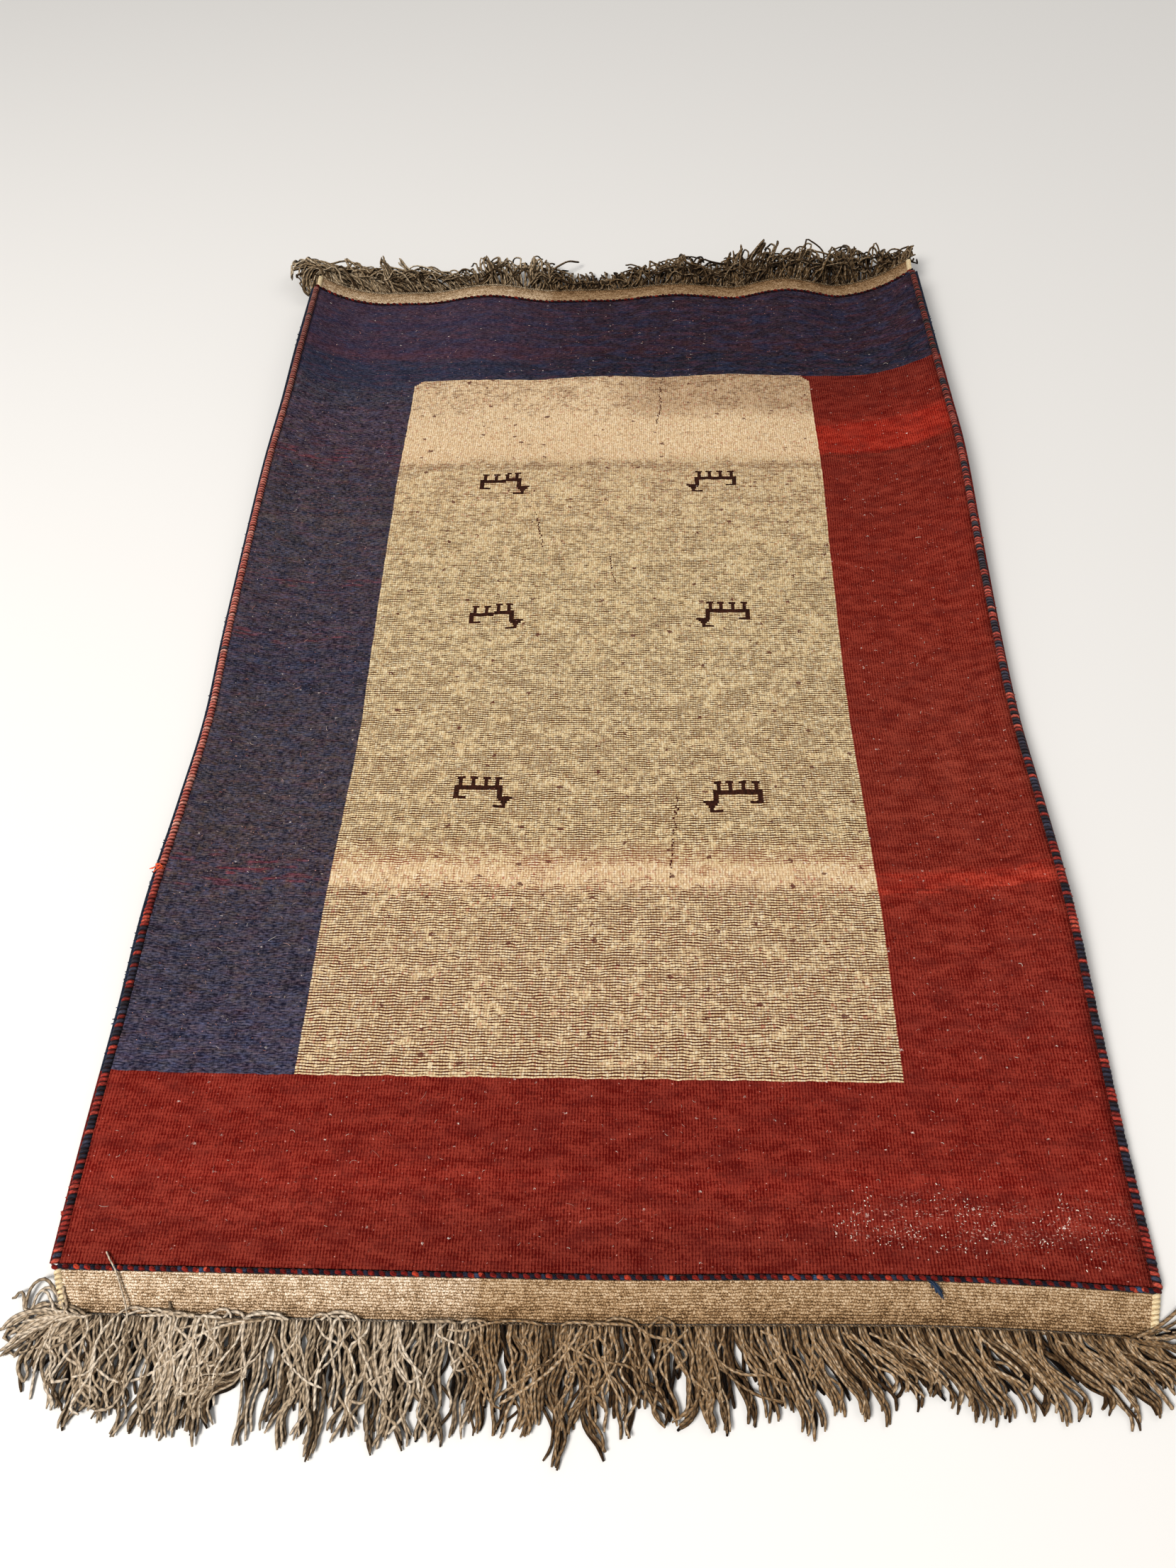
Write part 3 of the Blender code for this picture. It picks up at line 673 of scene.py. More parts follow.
# The cut pile on the floor side: the same dyes, softer and without rows, with the navy and red painted
# darker, partly as painted shade
pile, tree, shader = new_material("cut_wool_pile", roughness=0.95, sheen=0.05)
place = add("Attribute", attribute_name="weave").outputs["Vector"]
axes = add("SeparateXYZ", (place,))
across, along = axes.outputs["X"], axes.outputs["Y"]
near_end = add("Math", (along, FIELD["near"]), operation="LESS_THAN")
before_far = add("Math", (along, FIELD["far"]), operation="LESS_THAN")
right_side = add("Math", (across, FIELD["right"]), operation="GREATER_THAN")
is_red = add("Math", (right_side, before_far), operation="MULTIPLY")
is_red = add("Math", (near_end, is_red), operation="MAXIMUM")
off_middle = add("Math", (add("Math", (across, FIELD_MIDDLE), operation="SUBTRACT"),), operation="ABSOLUTE")
in_field = add("Math", (off_middle, FIELD_HALF), operation="LESS_THAN")
in_field = add("Math", (in_field, before_far), operation="MULTIPLY")
in_field = add("Math", (in_field, add("Math", (1.0, near_end), operation="SUBTRACT")), operation="MULTIPLY")
colour = add("MixRGB", (is_red, "#232c3e", "#741a14"))
colour = add("MixRGB", (in_field, colour, "#b39a76"))
tufts = streaks(0.004, 0.004, 61.0, 3.0)
darker = add("MixRGB", (1.0, colour, "#707070"), blend_type="MULTIPLY")
colour = add("MixRGB", (add("MapRange", (tufts, 0.35, 0.65, 0.0, 1.0)), darker, colour))
tree.links.new(colour.outputs[0], shader.inputs["Base Color"])
bump = add("Bump", {"Height": tufts, "Strength": 0.9, "Distance": 0.002})
tree.links.new(bump.outputs[0], shader.inputs["Normal"])

body = show("knotted_body", mesh, (wool, pile), "ground_wool", "rug_ground")


# The pile's rim: the outermost knots' cut ends splay out from under both side
# cords, navy or teal on the left and at the far right, red elsewhere.
TUFTS = 900


def spin_yarns(name, paths, widths, thicknesses, sides, ups=None, tones=None):
    """Tubes round many paths of equally many points, each a copy of one capped prism."""
    count, rings = paths.shape[:2]
    pattern = bmesh.new()
    bmesh.ops.create_cone(pattern, cap_ends=True, segments=sides, radius1=1, radius2=1, depth=1.0)
    long_edges = [e for e in pattern.edges if abs(e.verts[0].co.z - e.verts[1].co.z) > 0.5]
    bmesh.ops.subdivide_edges(pattern, edges=long_edges, cuts=rings - 2)
    prism = bpy.data.meshes.new(name + "_pattern")
    pattern.to_mesh(prism)
    pattern.free()
    shape = points_of(prism)
    ring = np.round((shape[:, 2] + 0.5) * (rings - 1)).astype(int)
    angle = np.arctan2(shape[:, 1], shape[:, 0])
    bm = bmesh.new()
    for _ in range(count):
        bm.from_mesh(prism)
    mesh = bpy.data.meshes.new(name)
    bm.to_mesh(mesh)
    bm.free()
    bpy.data.meshes.remove(prism)
    tangent = np.gradient(paths, axis=1)
    tangent /= np.linalg.norm(tangent, axis=2, keepdims=True) + 1e-12
    if ups is None:
        ups = np.broadcast_to(np.array([0.0, 0.0, 1.0]), paths.shape)
    ups = ups / np.linalg.norm(ups, axis=2, keepdims=True)
    aside = np.cross(tangent, ups)
    length = np.linalg.norm(aside, axis=2, keepdims=True)
    aside = np.where(length < 0.05, np.array([1.0, 0.0, 0.0]), aside / np.maximum(length, 1e-9))
    upward = np.cross(aside, tangent)
    steps = np.linalg.norm(np.diff(paths, axis=1), axis=2)
    run = np.concatenate([np.zeros((count, 1)), np.cumsum(steps, axis=1)], axis=1)
    around = aside[:, ring] * (np.cos(angle)[:, None] * widths[:, ring, None])
    around += upward[:, ring] * (np.sin(angle)[:, None] * thicknesses[:, ring, None])
    places = paths[:, ring] + around
    places[..., 2] = np.maximum(places[..., 2], 0.0002)
    mesh.vertices.foreach_set("co", places.ravel())
    ply = np.stack([
        np.broadcast_to(np.cos(angle), (count, len(ring))),
        np.broadcast_to(np.sin(angle), (count, len(ring))),
        run[:, ring],
    ], axis=2)
    set_attribute(mesh, "ply", ply.reshape(-1, 3))
    if tones is None:
        tones = np.zeros(count)
    set_attribute(mesh, "tone", np.repeat(tones, len(ring)))
    return mesh


chance = np.random.default_rng(21)
for side, sign in (("left", -1), ("right", 1)):
    along = np.sort(chance.uniform(-BODY_END + 0.002, BODY_END - 0.002, TUFTS))
    splay = follow(SPLAYS, 1 if sign < 0 else 2, along)
    root = sign * (half_width(np.full(TUFTS, sign), along) + 0.004)
    reach = np.clip(chance.normal(0.94, 0.10, TUFTS), 0.60, 1.14) * splay - 0.004
    reach *= 0.88 + 0.14 * np.sin(along * 23 + 3 * np.sin(along * 7))
    way = np.linspace(0, 1, 5)
    drift = chance.normal(0, 0.0018, TUFTS)
    low = chance.uniform(0.0012, 0.0030, TUFTS)
    path = np.stack([
        root[:, None] + sign * reach[:, None] * way,
        along[:, None] + drift[:, None] * way ** 1.5,
        low[:, None] * (1 - 0.35 * way ** 2),
    ], axis=2)
    wide = np.interp(way, (0, 0.5, 0.85, 1), (0.0013, 0.0017, 0.0013, 0.0005))
    wide = wide * chance.uniform(0.75, 1.3, (TUFTS, 1))
    mesh = spin_yarns("pile_rim_" + side, lay(path), wide, wide * 0.6, 5, tones=along)
    material, tree, shader = new_material("dyed_pile_ends_" + side, roughness=0.95, sheen=0.05)
    tone = add("Attribute", attribute_name="tone").outputs["Fac"]
    is_blue = add("Math", (tone, FIELD["near"] if sign < 0 else FIELD["far"]), operation="GREATER_THAN")
    which = add("TexWhiteNoise", {"W": tone}, noise_dimensions="1D").outputs["Value"]
    # The navy ends are painted near black, partly as painted shade under the cords
    blues = add("MixRGB", (which, "#12151f", "#27304a"))
    reds = add("MixRGB", (which, "#6a160f", "#b43c28"))
    tree.links.new(add("MixRGB", (is_blue, reds, blues)).outputs[0], shader.inputs["Base Color"])
    show("pile_rim_" + side, mesh, (material,), "ground_wool")


# The side cords: a bundle of warps overcast with thick wool yarn, each turn
# lying close against the next. Red and navy turns alternate in stretches, and
# the left cord's far part is bleached to coral.
WRAP_PITCH = 0.0056
WRAP_POINTS = 12
WRAP_RADIUS = 0.0036
CORD_LIFT = THICKNESS - FOUNDATION / 2
# Part of the length, and how large a share of the turns is navy there
NAVY_TURNS = {
    "left": ((0.0, 0.45), (0.20, 0.42), (0.25, 0.12), (0.29, 0.02), (1.0, 0.00)),
    "right": ((0.0, 0.48), (0.3, 0.50), (0.38, 0.60), (0.55, 0.50), (0.72, 0.35), (1.0, 0.25)),
}
# Parts of the length between which the red bleaches, and how much before and after
BLEACHED = {"left": (0.24, 0.31, 0.1, 1.0), "right": (0.30, 0.60, 0.1, 0.35)}
for side, sign in (("left", -1), ("right", 1)):
    turns = int(2 * BODY_END / WRAP_PITCH)
    count = turns * WRAP_POINTS + 1
    turn = np.arange(count) / WRAP_POINTS
    along = -BODY_END + 0.0005 + turn * (2 * BODY_END - 0.001) / turns
    angle = 2 * np.pi * turn
    middle = half_width(np.full(count, sign), along) + GAP + SELVEDGE_RADIUS
    jitter = np.repeat(chance.normal(0, 0.00022, turns + 1), WRAP_POINTS)[:count]
    jitter = np.convolve(jitter, np.ones(5) / 5, "same")
    radius = WRAP_RADIUS + jitter
    path = np.stack([
        sign * (middle + radius * np.cos(angle)), along + jitter, CORD_LIFT + radius * np.sin(angle),
    ], axis=1)
    core = np.stack([sign * middle, along + jitter, np.full(count, CORD_LIFT)], axis=1)
    laid, laid_core = lay(path)[None], lay(core)[None]
    wide = np.full((1, count), WRAP_PITCH * 0.50)
    mesh = spin_yarns("overcast_" + side, laid, wide, wide * 0.62, 6, ups=laid - laid_core)
    run = np.empty(len(mesh.vertices) * 3)
    mesh.attributes["ply"].data.foreach_get("vector", run)
    steps = np.linalg.norm(np.diff(laid[0], axis=0), axis=1)
    length = np.concatenate([[0], np.cumsum(steps)])
    set_attribute(mesh, "turn", np.interp(run.reshape(-1, 3)[:, 2], length, turn + 0.25))

    material, tree, shader = new_material("overcast_wool_" + side, roughness=0.9, sheen=0.05)
    ply = add("Attribute", attribute_name="ply").outputs["Vector"]
    turned = add("Attribute", attribute_name="turn").outputs["Fac"]
    number = add("Math", (turned,), operation="FLOOR")
    which = add("TexWhiteNoise", {"W": number}, noise_dimensions="1D").outputs["Value"]
    turn_part = add("Math", (number, turns), operation="DIVIDE")
    share = add("ValToRGB", (turn_part,), [(at, (part, part, part, 1.0)) for at, part in NAVY_TURNS[side]])
    is_navy = add("Math", (which, share), operation="LESS_THAN")
    shade = add("TexWhiteNoise", {"W": add("Math", (number, 0.37), operation="ADD")}, noise_dimensions="1D")
    shade = shade.outputs["Value"]
    faded = add("ValToRGB", (shade,), (
        (0.0, "#b4382c"), (0.25, "#cc5646"), (0.6, "#de6e5a"), (0.85, "#ee8e7a"), (1.0, "#f8ac98"),
    ))
    fresh = add("ValToRGB", (shade,), (
        (0.0, "#701614"), (0.5, "#a02620"), (0.8, "#c43426"), (1.0, "#d85038"),
    ))
    bleached = add("MapRange", (turn_part, *BLEACHED[side]))
    reds = add("MixRGB", (bleached, fresh, faded))
    blues = add("ValToRGB", (shade,), ((0.0, "#191a24"), (0.7, "#2a2c3e"), (1.0, "#444a60")))
    colour = add("MixRGB", (is_navy, reds, blues))
    dulled = add("MapRange", (turn_part, 0.66, 0.92, 0.0, 1.0))
    colour = add("MixRGB", (dulled, colour, add("MixRGB", (1.0, colour, "#a89090"), blend_type="MULTIPLY")))
    spun = add("VectorMath", (ply, (2.0, 2.0, 420.0)), operation="MULTIPLY")
    hair = add("TexNoise", {"Vector": spun, "Scale": 1.0, "Detail": 2.0})
    darker = add("MixRGB", (1.0, colour, "#8c8484"), blend_type="MULTIPLY")
    colour = add("MixRGB", (add("MapRange", (hair, 0.35, 0.65, 0.0, 1.0)), colour, darker))
    side_of_turn = add("Math", (add("SeparateXYZ", (ply,)).outputs["X"],), operation="ABSOLUTE")
    # Painted highlight on the crown of each bleached turn
    crown_highlight = add("MapRange", (side_of_turn, 0.0, 0.55, 0.60, 0.0))
    crown_highlight = add("Math", (crown_highlight, bleached), operation="MULTIPLY")
    colour = add("MixRGB", (crown_highlight, colour, add("MixRGB", (0.32, colour, "#ffdccc"))))
    # Painted shade in the creases between the turns
    crease_shade = add("MapRange", (side_of_turn, 0.42, 0.95, 0.0, 0.96))
    colour = add("MixRGB", (crease_shade, colour, "#160a0a"))
    tree.links.new(colour.outputs[0], shader.inputs["Base Color"])
    bump = add("Bump", {"Height": hair, "Strength": 0.5, "Distance": 0.0006})
    tree.links.new(bump.outputs[0], shader.inputs["Normal"])
    show("overcast_" + side, mesh, (material,), "selvedge_wool", "selvedge_" + side)

    rows = 180
    along = np.linspace(-BODY_END + 0.001, BODY_END - 0.001, rows)
    middle = half_width(np.full(rows, sign), along) + GAP + SELVEDGE_RADIUS
    core = np.stack([sign * middle, along, np.full(rows, CORD_LIFT)], axis=1)[None]
    wide = np.full((1, rows), WRAP_RADIUS)
    mesh = spin_yarns("cord_core_" + side, lay(core), wide, wide, 8)
    material, tree, shader = new_material("warp_bundle_wool_" + side, roughness=0.95)
    shader.inputs["Base Color"].default_value = hex_colour("#3a1512")
    show("cord_core_" + side, mesh, (material,), "selvedge_wool")


# The twined row that closes the knotting at each end: a red and a navy yarn
# turned round each other between the warps, so their bights alternate.
TWINING_MIDDLE = 0.893
TWINING_PITCH = 0.0122
TWINING_POINTS = 10
BIGHT_LENGTH = 0.0129
for end, sign in (("near", -1), ("far", 1)):
    reach = half_width(np.array([-1.0, 1.0]), np.full(2, sign * TWINING_MIDDLE)) + 2 * SELVEDGE_RADIUS
    turns = (reach.sum() - 0.004) / TWINING_PITCH
    count = int(turns * TWINING_POINTS) + 1
    u = np.linspace(-reach[0] + 0.002, reach[1] - 0.002, count)
    yarns = []
    for start in (0.0, math.pi):
        angle = 2 * np.pi * np.arange(count) / TWINING_POINTS + start
        jitter = np.convolve(chance.normal(0, 0.0009, count), np.ones(8) / 8, "same")
        yarns.append(np.stack([
            u, sign * TWINING_MIDDLE + 0.0007 * np.cos(angle) + jitter,
            0.0078 + (0.0005 if start == 0.0 else -0.0006) + 0.0016 * np.sin(angle) + jitter * 0.3,
        ], axis=1))
    paths = lay(np.array(yarns))
    steps = 2 * np.pi * np.arange(count) / TWINING_POINTS
    bight = np.stack([0.5 + 0.5 * np.sin(steps + start) for start in (0, math.pi)])
    wide = 0.0016 + 0.0012 * bight
    mesh = spin_yarns("twined_row_" + end, paths, wide, wide * 0.60, 6, tones=np.array([0.0, 1.0]))
    material, tree, shader = new_material("twined_wool_" + end, roughness=0.9, sheen=0.05)
    tone = add("Attribute", attribute_name="tone").outputs["Fac"]
    ply = add("Attribute", attribute_name="ply").outputs["Vector"]
    run = add("SeparateXYZ", (ply,)).outputs["Z"]
    bight = add("Math", (add("Math", (run, BIGHT_LENGTH), operation="DIVIDE"),), operation="FLOOR")
    which = add("TexWhiteNoise", {"W": bight}, noise_dimensions="1D").outputs["Value"]
    reds = add("ValToRGB", (which,), (
        (0.0, "#5a1210"), (0.5, "#7e1c18"), (0.80, "#9a2a20"), (0.88, "#c8442c"), (1.0, "#d25a40"),
    ))
    blues = add("ValToRGB", (which,), (
        (0.0, "#1b1a28"), (0.6, "#2a2a3c"), (0.88, "#363c52"), (0.95, "#3c5274"), (1.0, "#4a648c"),
    ))
    colour = add("MixRGB", (tone, reds, blues))
    spun = add("VectorMath", (ply, (2.0, 2.0, 380.0)), operation="MULTIPLY")
    hair = add("TexNoise", {"Vector": spun, "Scale": 1.0, "Detail": 2.0})
    darker = add("MixRGB", (1.0, colour, "#8c8484"), blend_type="MULTIPLY")
    colour = add("MixRGB", (add("MapRange", (hair, 0.35, 0.65, 0.0, 1.0)), colour, darker))
    # Painted shade on the sides and underside of each yarn, where the bights press together
    flank_shade = add("MapRange", (add("SeparateXYZ", (ply,)).outputs["Y"], 0.0, 0.60, 0.60, 0.0))
    colour = add("MixRGB", (flank_shade, colour, "#160a0c"))
    if end == "far":
        colour = add("MixRGB", (1.0, colour, "#b08c90"), blend_type="MULTIPLY")
    tree.links.new(colour.outputs[0], shader.inputs["Base Color"])
    bump = add("Bump", {"Height": hair, "Strength": 0.5, "Distance": 0.0006})
    tree.links.new(bump.outputs[0], shader.inputs["Normal"])
    show("twined_row_" + end, mesh, (material,), "twining_wool", "twining_" + end)


# The flat-woven end bands: undyed wool woven plain over the warps in fourteen fine
# rows, greyer on the left where another batch was used. They sink from the
# knotted body's back down to the floor, and draw in a little at their ends.
BAND_START, BAND_END = 0.8958, 0.9378
BAND_WIDTH = BAND_END - BAND_START
BAND_ROWS = 14
BAND_COLUMNS = 160
RIB_DEPTH = 0.0004
RIB = 0.0027
# How far each band reaches past the cloth's edge at the knotting and at the
# fringe, on its left and right
BAND_REACH = {"near": ((0.002, 0.003), (-0.014, -0.007)), "far": ((0.003, 0.003), (0.003, 0.002))}


def end_lift(v):
    """The lift of the band's underside, from the foundation down to the floor."""
    return (THICKNESS - FOUNDATION) * (1 - ease((np.abs(v) - BAND_START) / BAND_WIDTH))


def band_edge(end, v, side):
    """How far the band reaches from the middle at one side, 0 for left and 1 for right."""
    at_knots, at_fringe = BAND_REACH[end][0][side], BAND_REACH[end][1][side]
    out = at_knots + (at_fringe - at_knots) * np.clip((np.abs(v) - BAND_START) / BAND_WIDTH, 0, 1)
    return half_width(np.full(np.shape(v), -1.0 if side == 0 else 1.0), v) + out


for end, sign in (("near", -1), ("far", 1)):
    steps = BAND_ROWS * 4
    top = [(BAND_START + BAND_WIDTH * i / steps,
            1.0 - 0.5 * RIB_DEPTH / FOUNDATION * (1 + math.cos(math.pi * i / 2))) for i in range(steps + 1)]
    low = [(BAND_END - BAND_WIDTH * i / 8, 0.0) for i in range(9)]

    def place_band(section, row):
        """Cloth measure of the band's section at each step across the rug."""
        v = sign * section[:, 0]
        part = row / BAND_COLUMNS
        u = -band_edge(end, v, 0) * (1 - part) + band_edge(end, v, 1) * part
        return np.stack([u, v, end_lift(v) + FOUNDATION * section[:, 1]], axis=1)

    mesh = sleeve("end_band_weave_" + end, BAND_COLUMNS, np.array(top + low + top[:1]), place_band)
    flat = points_of(mesh)
    set_attribute(mesh, "weave", flat)
    sway = flat.copy()
    inside = swell((np.abs(flat[:, 1]) - 0.9173) / 0.0205)
    sway[:, 1] += inside * (0.0006 * np.sin(flat[:, 0] * 47 + flat[:, 1] * 30)
                            + 0.0005 * np.sin(flat[:, 0] * 121 - flat[:, 1] * 90))
    mesh.vertices.foreach_set("co", lay(sway).ravel())

    material, tree, shader = new_material("flat_woven_undyed_wool_" + end, roughness=0.95)
    place = add("Attribute", attribute_name="weave").outputs["Vector"]
    axes = add("SeparateXYZ", (place,))
    across, along = axes.outputs["X"], axes.outputs["Y"]
    stray = add("TexNoise", {"Vector": place, "Scale": 210.0, "Detail": 2.0})
    stray = add("VectorMath", (stray.outputs["Color"], (0.5, 0.5, 0.5)), operation="SUBTRACT")
    stray = add("VectorMath", (stray, (0.0042, 0.0030, 0.0)), operation="MULTIPLY")
    axes = add("SeparateXYZ", (add("VectorMath", (place, stray), operation="ADD"),))
    strayed, across_band = axes.outputs["Y"], axes.outputs["X"]
    out = add("Math", (add("Math", (strayed,), operation="ABSOLUTE"), BAND_START), operation="SUBTRACT")
    row = add("Math", (out, BAND_WIDTH / BAND_ROWS), operation="DIVIDE")
    row_number = add("Math", (row,), operation="FLOOR")
    row_part = add("Math", (add("Math", (row,), operation="FRACT"), 0.5), operation="SUBTRACT")
    rib = add("Math", (across_band, RIB), operation="DIVIDE")
    rib = add("Math", (rib, add("Math", (row_number, 0.5), operation="MULTIPLY")), operation="ADD")
    rib_number = add("Math", (rib,), operation="FLOOR")
    rib_part = add("Math", (add("Math", (rib,), operation="FRACT"), 0.5), operation="SUBTRACT")
    cell_chance = add("TexWhiteNoise", (add("CombineXYZ", (rib_number, row_number)),), noise_dimensions="2D")
    rib_swell = add("Math", (rib_part, rib_part), operation="MULTIPLY")
    row_swell = add("Math", (row_part, row_part), operation="MULTIPLY")
    row_swell = add("Math", (row_swell, 1.7), operation="MULTIPLY")
    grain = streaks(0.0020, 0.0013, 12.0, 3.0)
    # Painted shade in the gaps between the woven grains
    sunk = add("Math", (add("Math", (rib_swell, row_swell), operation="ADD"), 1.05), operation="MULTIPLY")
    tone = add("Math", (add("Math", (cell_chance.outputs["Value"], 0.34), operation="MULTIPLY"),
                        add("Math", (grain, 1.9), operation="MULTIPLY")), operation="ADD")
    tone = add("Math", (tone, sunk), operation="SUBTRACT")
    patches = add("MapRange", (streaks(0.020, 0.008, 4.0, 3.0), 0.35, 0.65, 0.12, -0.12))
    tone = add("Math", (tone, patches), operation="ADD")
    tone = add("MapRange", (tone, 0.41, 1.39, 0.0, 1.0))
    worn_nap = add("MapRange", (out, BAND_WIDTH * 0.15, BAND_WIDTH * 0.70, 0.08, -0.02))
    tone = add("Math", (tone, worn_nap), operation="ADD")
    # Painted shadow: the band darkens towards the fringe, where it sinks to the floor under the strands
    painted_fringe_shadow = add("MapRange", (out, BAND_WIDTH * 0.62, BAND_WIDTH, 0.0, 0.20))
    tone = add("Math", (tone, painted_fringe_shadow), operation="SUBTRACT")
    tone = add("ValToRGB", (tone,), (
        (0.0, "#4e3e2c"), (0.22, "#806a50"), (0.48, "#b49c7e"), (0.72, "#dccab0"), (1.0, "#fff8ea"),
    ))
    grey_wool, brown_wool = ("#fcf2ea", "#d9c6b0") if end == "near" else ("#f6e8d8", "#c8b29a")
    browner = add("MapRange", (across, -0.134, -0.122, 0.0, 1.0))
    batch = add("MixRGB", (browner, grey_wool, brown_wool))
    colour = add("MixRGB", (1.0, tone, batch), blend_type="MULTIPLY")
    tree.links.new(colour.outputs[0], shader.inputs["Base Color"])
    height = add("Math", (1.0, add("Math", (rib_swell, row_swell), operation="ADD")), operation="SUBTRACT")
    height = add("Math", (height, grain), operation="ADD")
    bump = add("Bump", {"Height": height, "Strength": 1.0, "Distance": 0.0010})
    tree.links.new(bump.outputs[0], shader.inputs["Normal"])
    show("end_band_weave_" + end, mesh, (material,), "band_wool", "end_band_" + end)


# The fringe yarn: undyed handspun wool, two plies twisted together, grey on
# the left of the rug and brown on its right, where another batch was used.
PLY_PITCH = 0.0082


def fringe_material(name, grey, brown, painted_shade_colour):
    """Two-ply yarn with painted shade in the uneven groove between its plies and on its sides and underside,
    and painted highlights.
    """
    global tree
    material, tree, shader = new_material(name, roughness=0.9, sheen=0.03)
    ply = add("Attribute", attribute_name="ply").outputs["Vector"]
    tone = add("Attribute", attribute_name="tone").outputs["Fac"]
    parts = add("SeparateXYZ", (ply,))
    angle = add("Math", (parts.outputs["Y"], parts.outputs["X"]), operation="ARCTAN2")
    own = add("Math", (tone, 40.0), operation="MULTIPLY")
    spun = add("VectorMath", (ply, (1.2, 1.2, 300.0)), operation="MULTIPLY")
    hair = add("TexNoise", {"Vector": spun, "W": own, "Scale": 1.0, "Detail": 3.0}, noise_dimensions="4D")
    uneven = add("Math", (hair, 5.0), operation="MULTIPLY")
    twist = add("Math", (parts.outputs["Z"], 2 * math.pi / PLY_PITCH), operation="MULTIPLY")
    twist = add("Math", (twist, add("Math", (angle, 2.0), operation="MULTIPLY")), operation="ADD")
    twist = add("Math", (add("Math", (twist, uneven), operation="ADD"), own), operation="ADD")
    wave = add("Math", (twist,), operation="COSINE")
    # Painted shade in the groove between the plies
    groove = add("MapRange", (wave, 0.1, 1.0, 0.0, 0.50), interpolation_type="SMOOTHSTEP")
    spot = add("TexCoord").outputs["Object"]
    mixed = add("TexNoise", {"Vector": spot, "Scale": 26.0, "Detail": 2.0})
    mixed = add("Math", (add("Math", (mixed, 0.5), operation="SUBTRACT"), 0.05), operation="MULTIPLY")
    mixed = add("Math", (add("SeparateXYZ", (spot,)).outputs["X"], mixed), operation="ADD")
    colour = add("MixRGB", (add("MapRange", (mixed, -0.150, -0.118, 0.0, 1.0)), grey, brown))
    # Painted highlight: patches along the yarn lightened towards cream
    shine = add("MapRange", (hair, 0.44, 0.66, 0.0, 0.9))
    colour = add("MixRGB", (shine, colour, add("MixRGB", (0.50, colour, "#fff4e0"))))
    colour = add("MixRGB", (groove, colour, painted_shade_colour))
    # Painted shade: a strand's tone, dark for those that lie low in the heap
    strand = add("ValToRGB", (tone,), (
        (0.0, "#120a06"), (0.3, "#5e5040"), (0.62, "#ccc2b4"), (1.0, "#ffffff"),
    ))
    colour = add("MixRGB", (1.0, colour, strand), blend_type="MULTIPLY")
    # Painted shade on the sides and underside of each strand, where its neighbours shade it
    flank_shade = add("MapRange", (parts.outputs["Y"], 0.0, 0.84, 0.94, 0.0), interpolation_type="SMOOTHSTEP")
    colour = add("MixRGB", (flank_shade, colour, painted_shade_colour))
    tree.links.new(colour.outputs[0], shader.inputs["Base Color"])
    height = add("Math", (add("Math", (hair, 1.4), operation="MULTIPLY"), wave), operation="SUBTRACT")
    bump = add("Bump", {"Height": height, "Strength": 0.8, "Distance": 0.0004})
    tree.links.new(bump.outputs[0], shader.inputs["Normal"])
    return material


fringe_wool = {
    "near": fringe_material("two_ply_fringe_yarn_near", "#dfcdb7", "#b08f69", "#1e1208"),
    "far": fringe_material("two_ply_fringe_yarn_far", "#cab494", "#80643e", "#150c04"),
}

# The heading: two plied yarns twined round each other at the fringe's root
HEADING_MIDDLE = 0.9406
HEADING_PITCH = 0.009
for end, sign in (("near", -1), ("far", 1)):
    reach = [float(band_edge(end, np.array(sign * BAND_END), side)) for side in (0, 1)]
    count = int((sum(reach) - 0.003) / HEADING_PITCH * 8)
    u = np.linspace(-reach[0] + 0.0015, reach[1] - 0.0015, count)
    paths = []
    for start in (0.0, math.pi):
        angle = 2 * np.pi * np.arange(count) / 8 + start
        paths.append(np.stack([
            u, sign * HEADING_MIDDLE + 0.0010 * np.cos(angle), 0.0021 + 0.0009 * np.sin(angle),
        ], axis=1))
    wide = np.full((2, count), 0.0014)
    tones = np.array([0.7, 0.9])
    mesh = spin_yarns("heading_" + end, lay(np.array(paths)), wide, wide * 0.9, 6, tones=tones)
    show("heading_" + end, mesh, (fringe_wool[end],), "fringe_wool", "fringe_" + end)

# The overcast ends of the bands, in thick cream wool
cream, tree, shader = new_material("cream_overcast_wool", roughness=0.9, sheen=0.05)
ply = add("Attribute", attribute_name="ply").outputs["Vector"]
spun = add("VectorMath", (ply, (2.0, 2.0, 400.0)), operation="MULTIPLY")
hair = add("TexNoise", {"Vector": spun, "Scale": 1.0, "Detail": 2.0})
colour = add("MixRGB", (add("MapRange", (hair, 0.35, 0.65, 0.0, 1.0)), "#f4e4bc", "#cdb084"))
side_of_turn = add("Math", (add("SeparateXYZ", (ply,)).outputs["X"],), operation="ABSOLUTE")
# Painted shade at the sides of each turn, where the turns meet
colour = add("MixRGB", (add("MapRange", (side_of_turn, 0.5, 1.0, 0.0, 0.7)), colour, "#8a6a40"))
tree.links.new(colour.outputs[0], shader.inputs["Base Color"])
END_WRAPS = 8
paths, ups = [], []
for end, sign in (("near", -1), ("far", 1)):
    for side in (0, 1):
        turn = np.arange(END_WRAPS * 10 + 1) / 10
        v = sign * (BAND_START + 0.001 + (BAND_WIDTH - 0.002) * turn / END_WRAPS)
        middle = (-1 if side == 0 else 1) * (band_edge(end, v, side) - 0.0015)
        lift = end_lift(v) + FOUNDATION / 2 + 0.0004
        angle = 2 * np.pi * turn
        line = np.stack([middle + 0.0034 * np.cos(angle), v, lift + 0.0020 * np.sin(angle)], axis=1)
        heart = np.stack([middle, v, lift], axis=1)
        paths.append(lay(line))
        ups.append(lay(line) - lay(heart))
wide = np.full((4, END_WRAPS * 10 + 1), BAND_WIDTH / END_WRAPS * 0.52)
mesh = spin_yarns("band_end_overcast", np.array(paths), wide, wide * 0.55, 6, ups=np.array(ups))
show("band_end_overcast", mesh, (cream,), "band_wool")


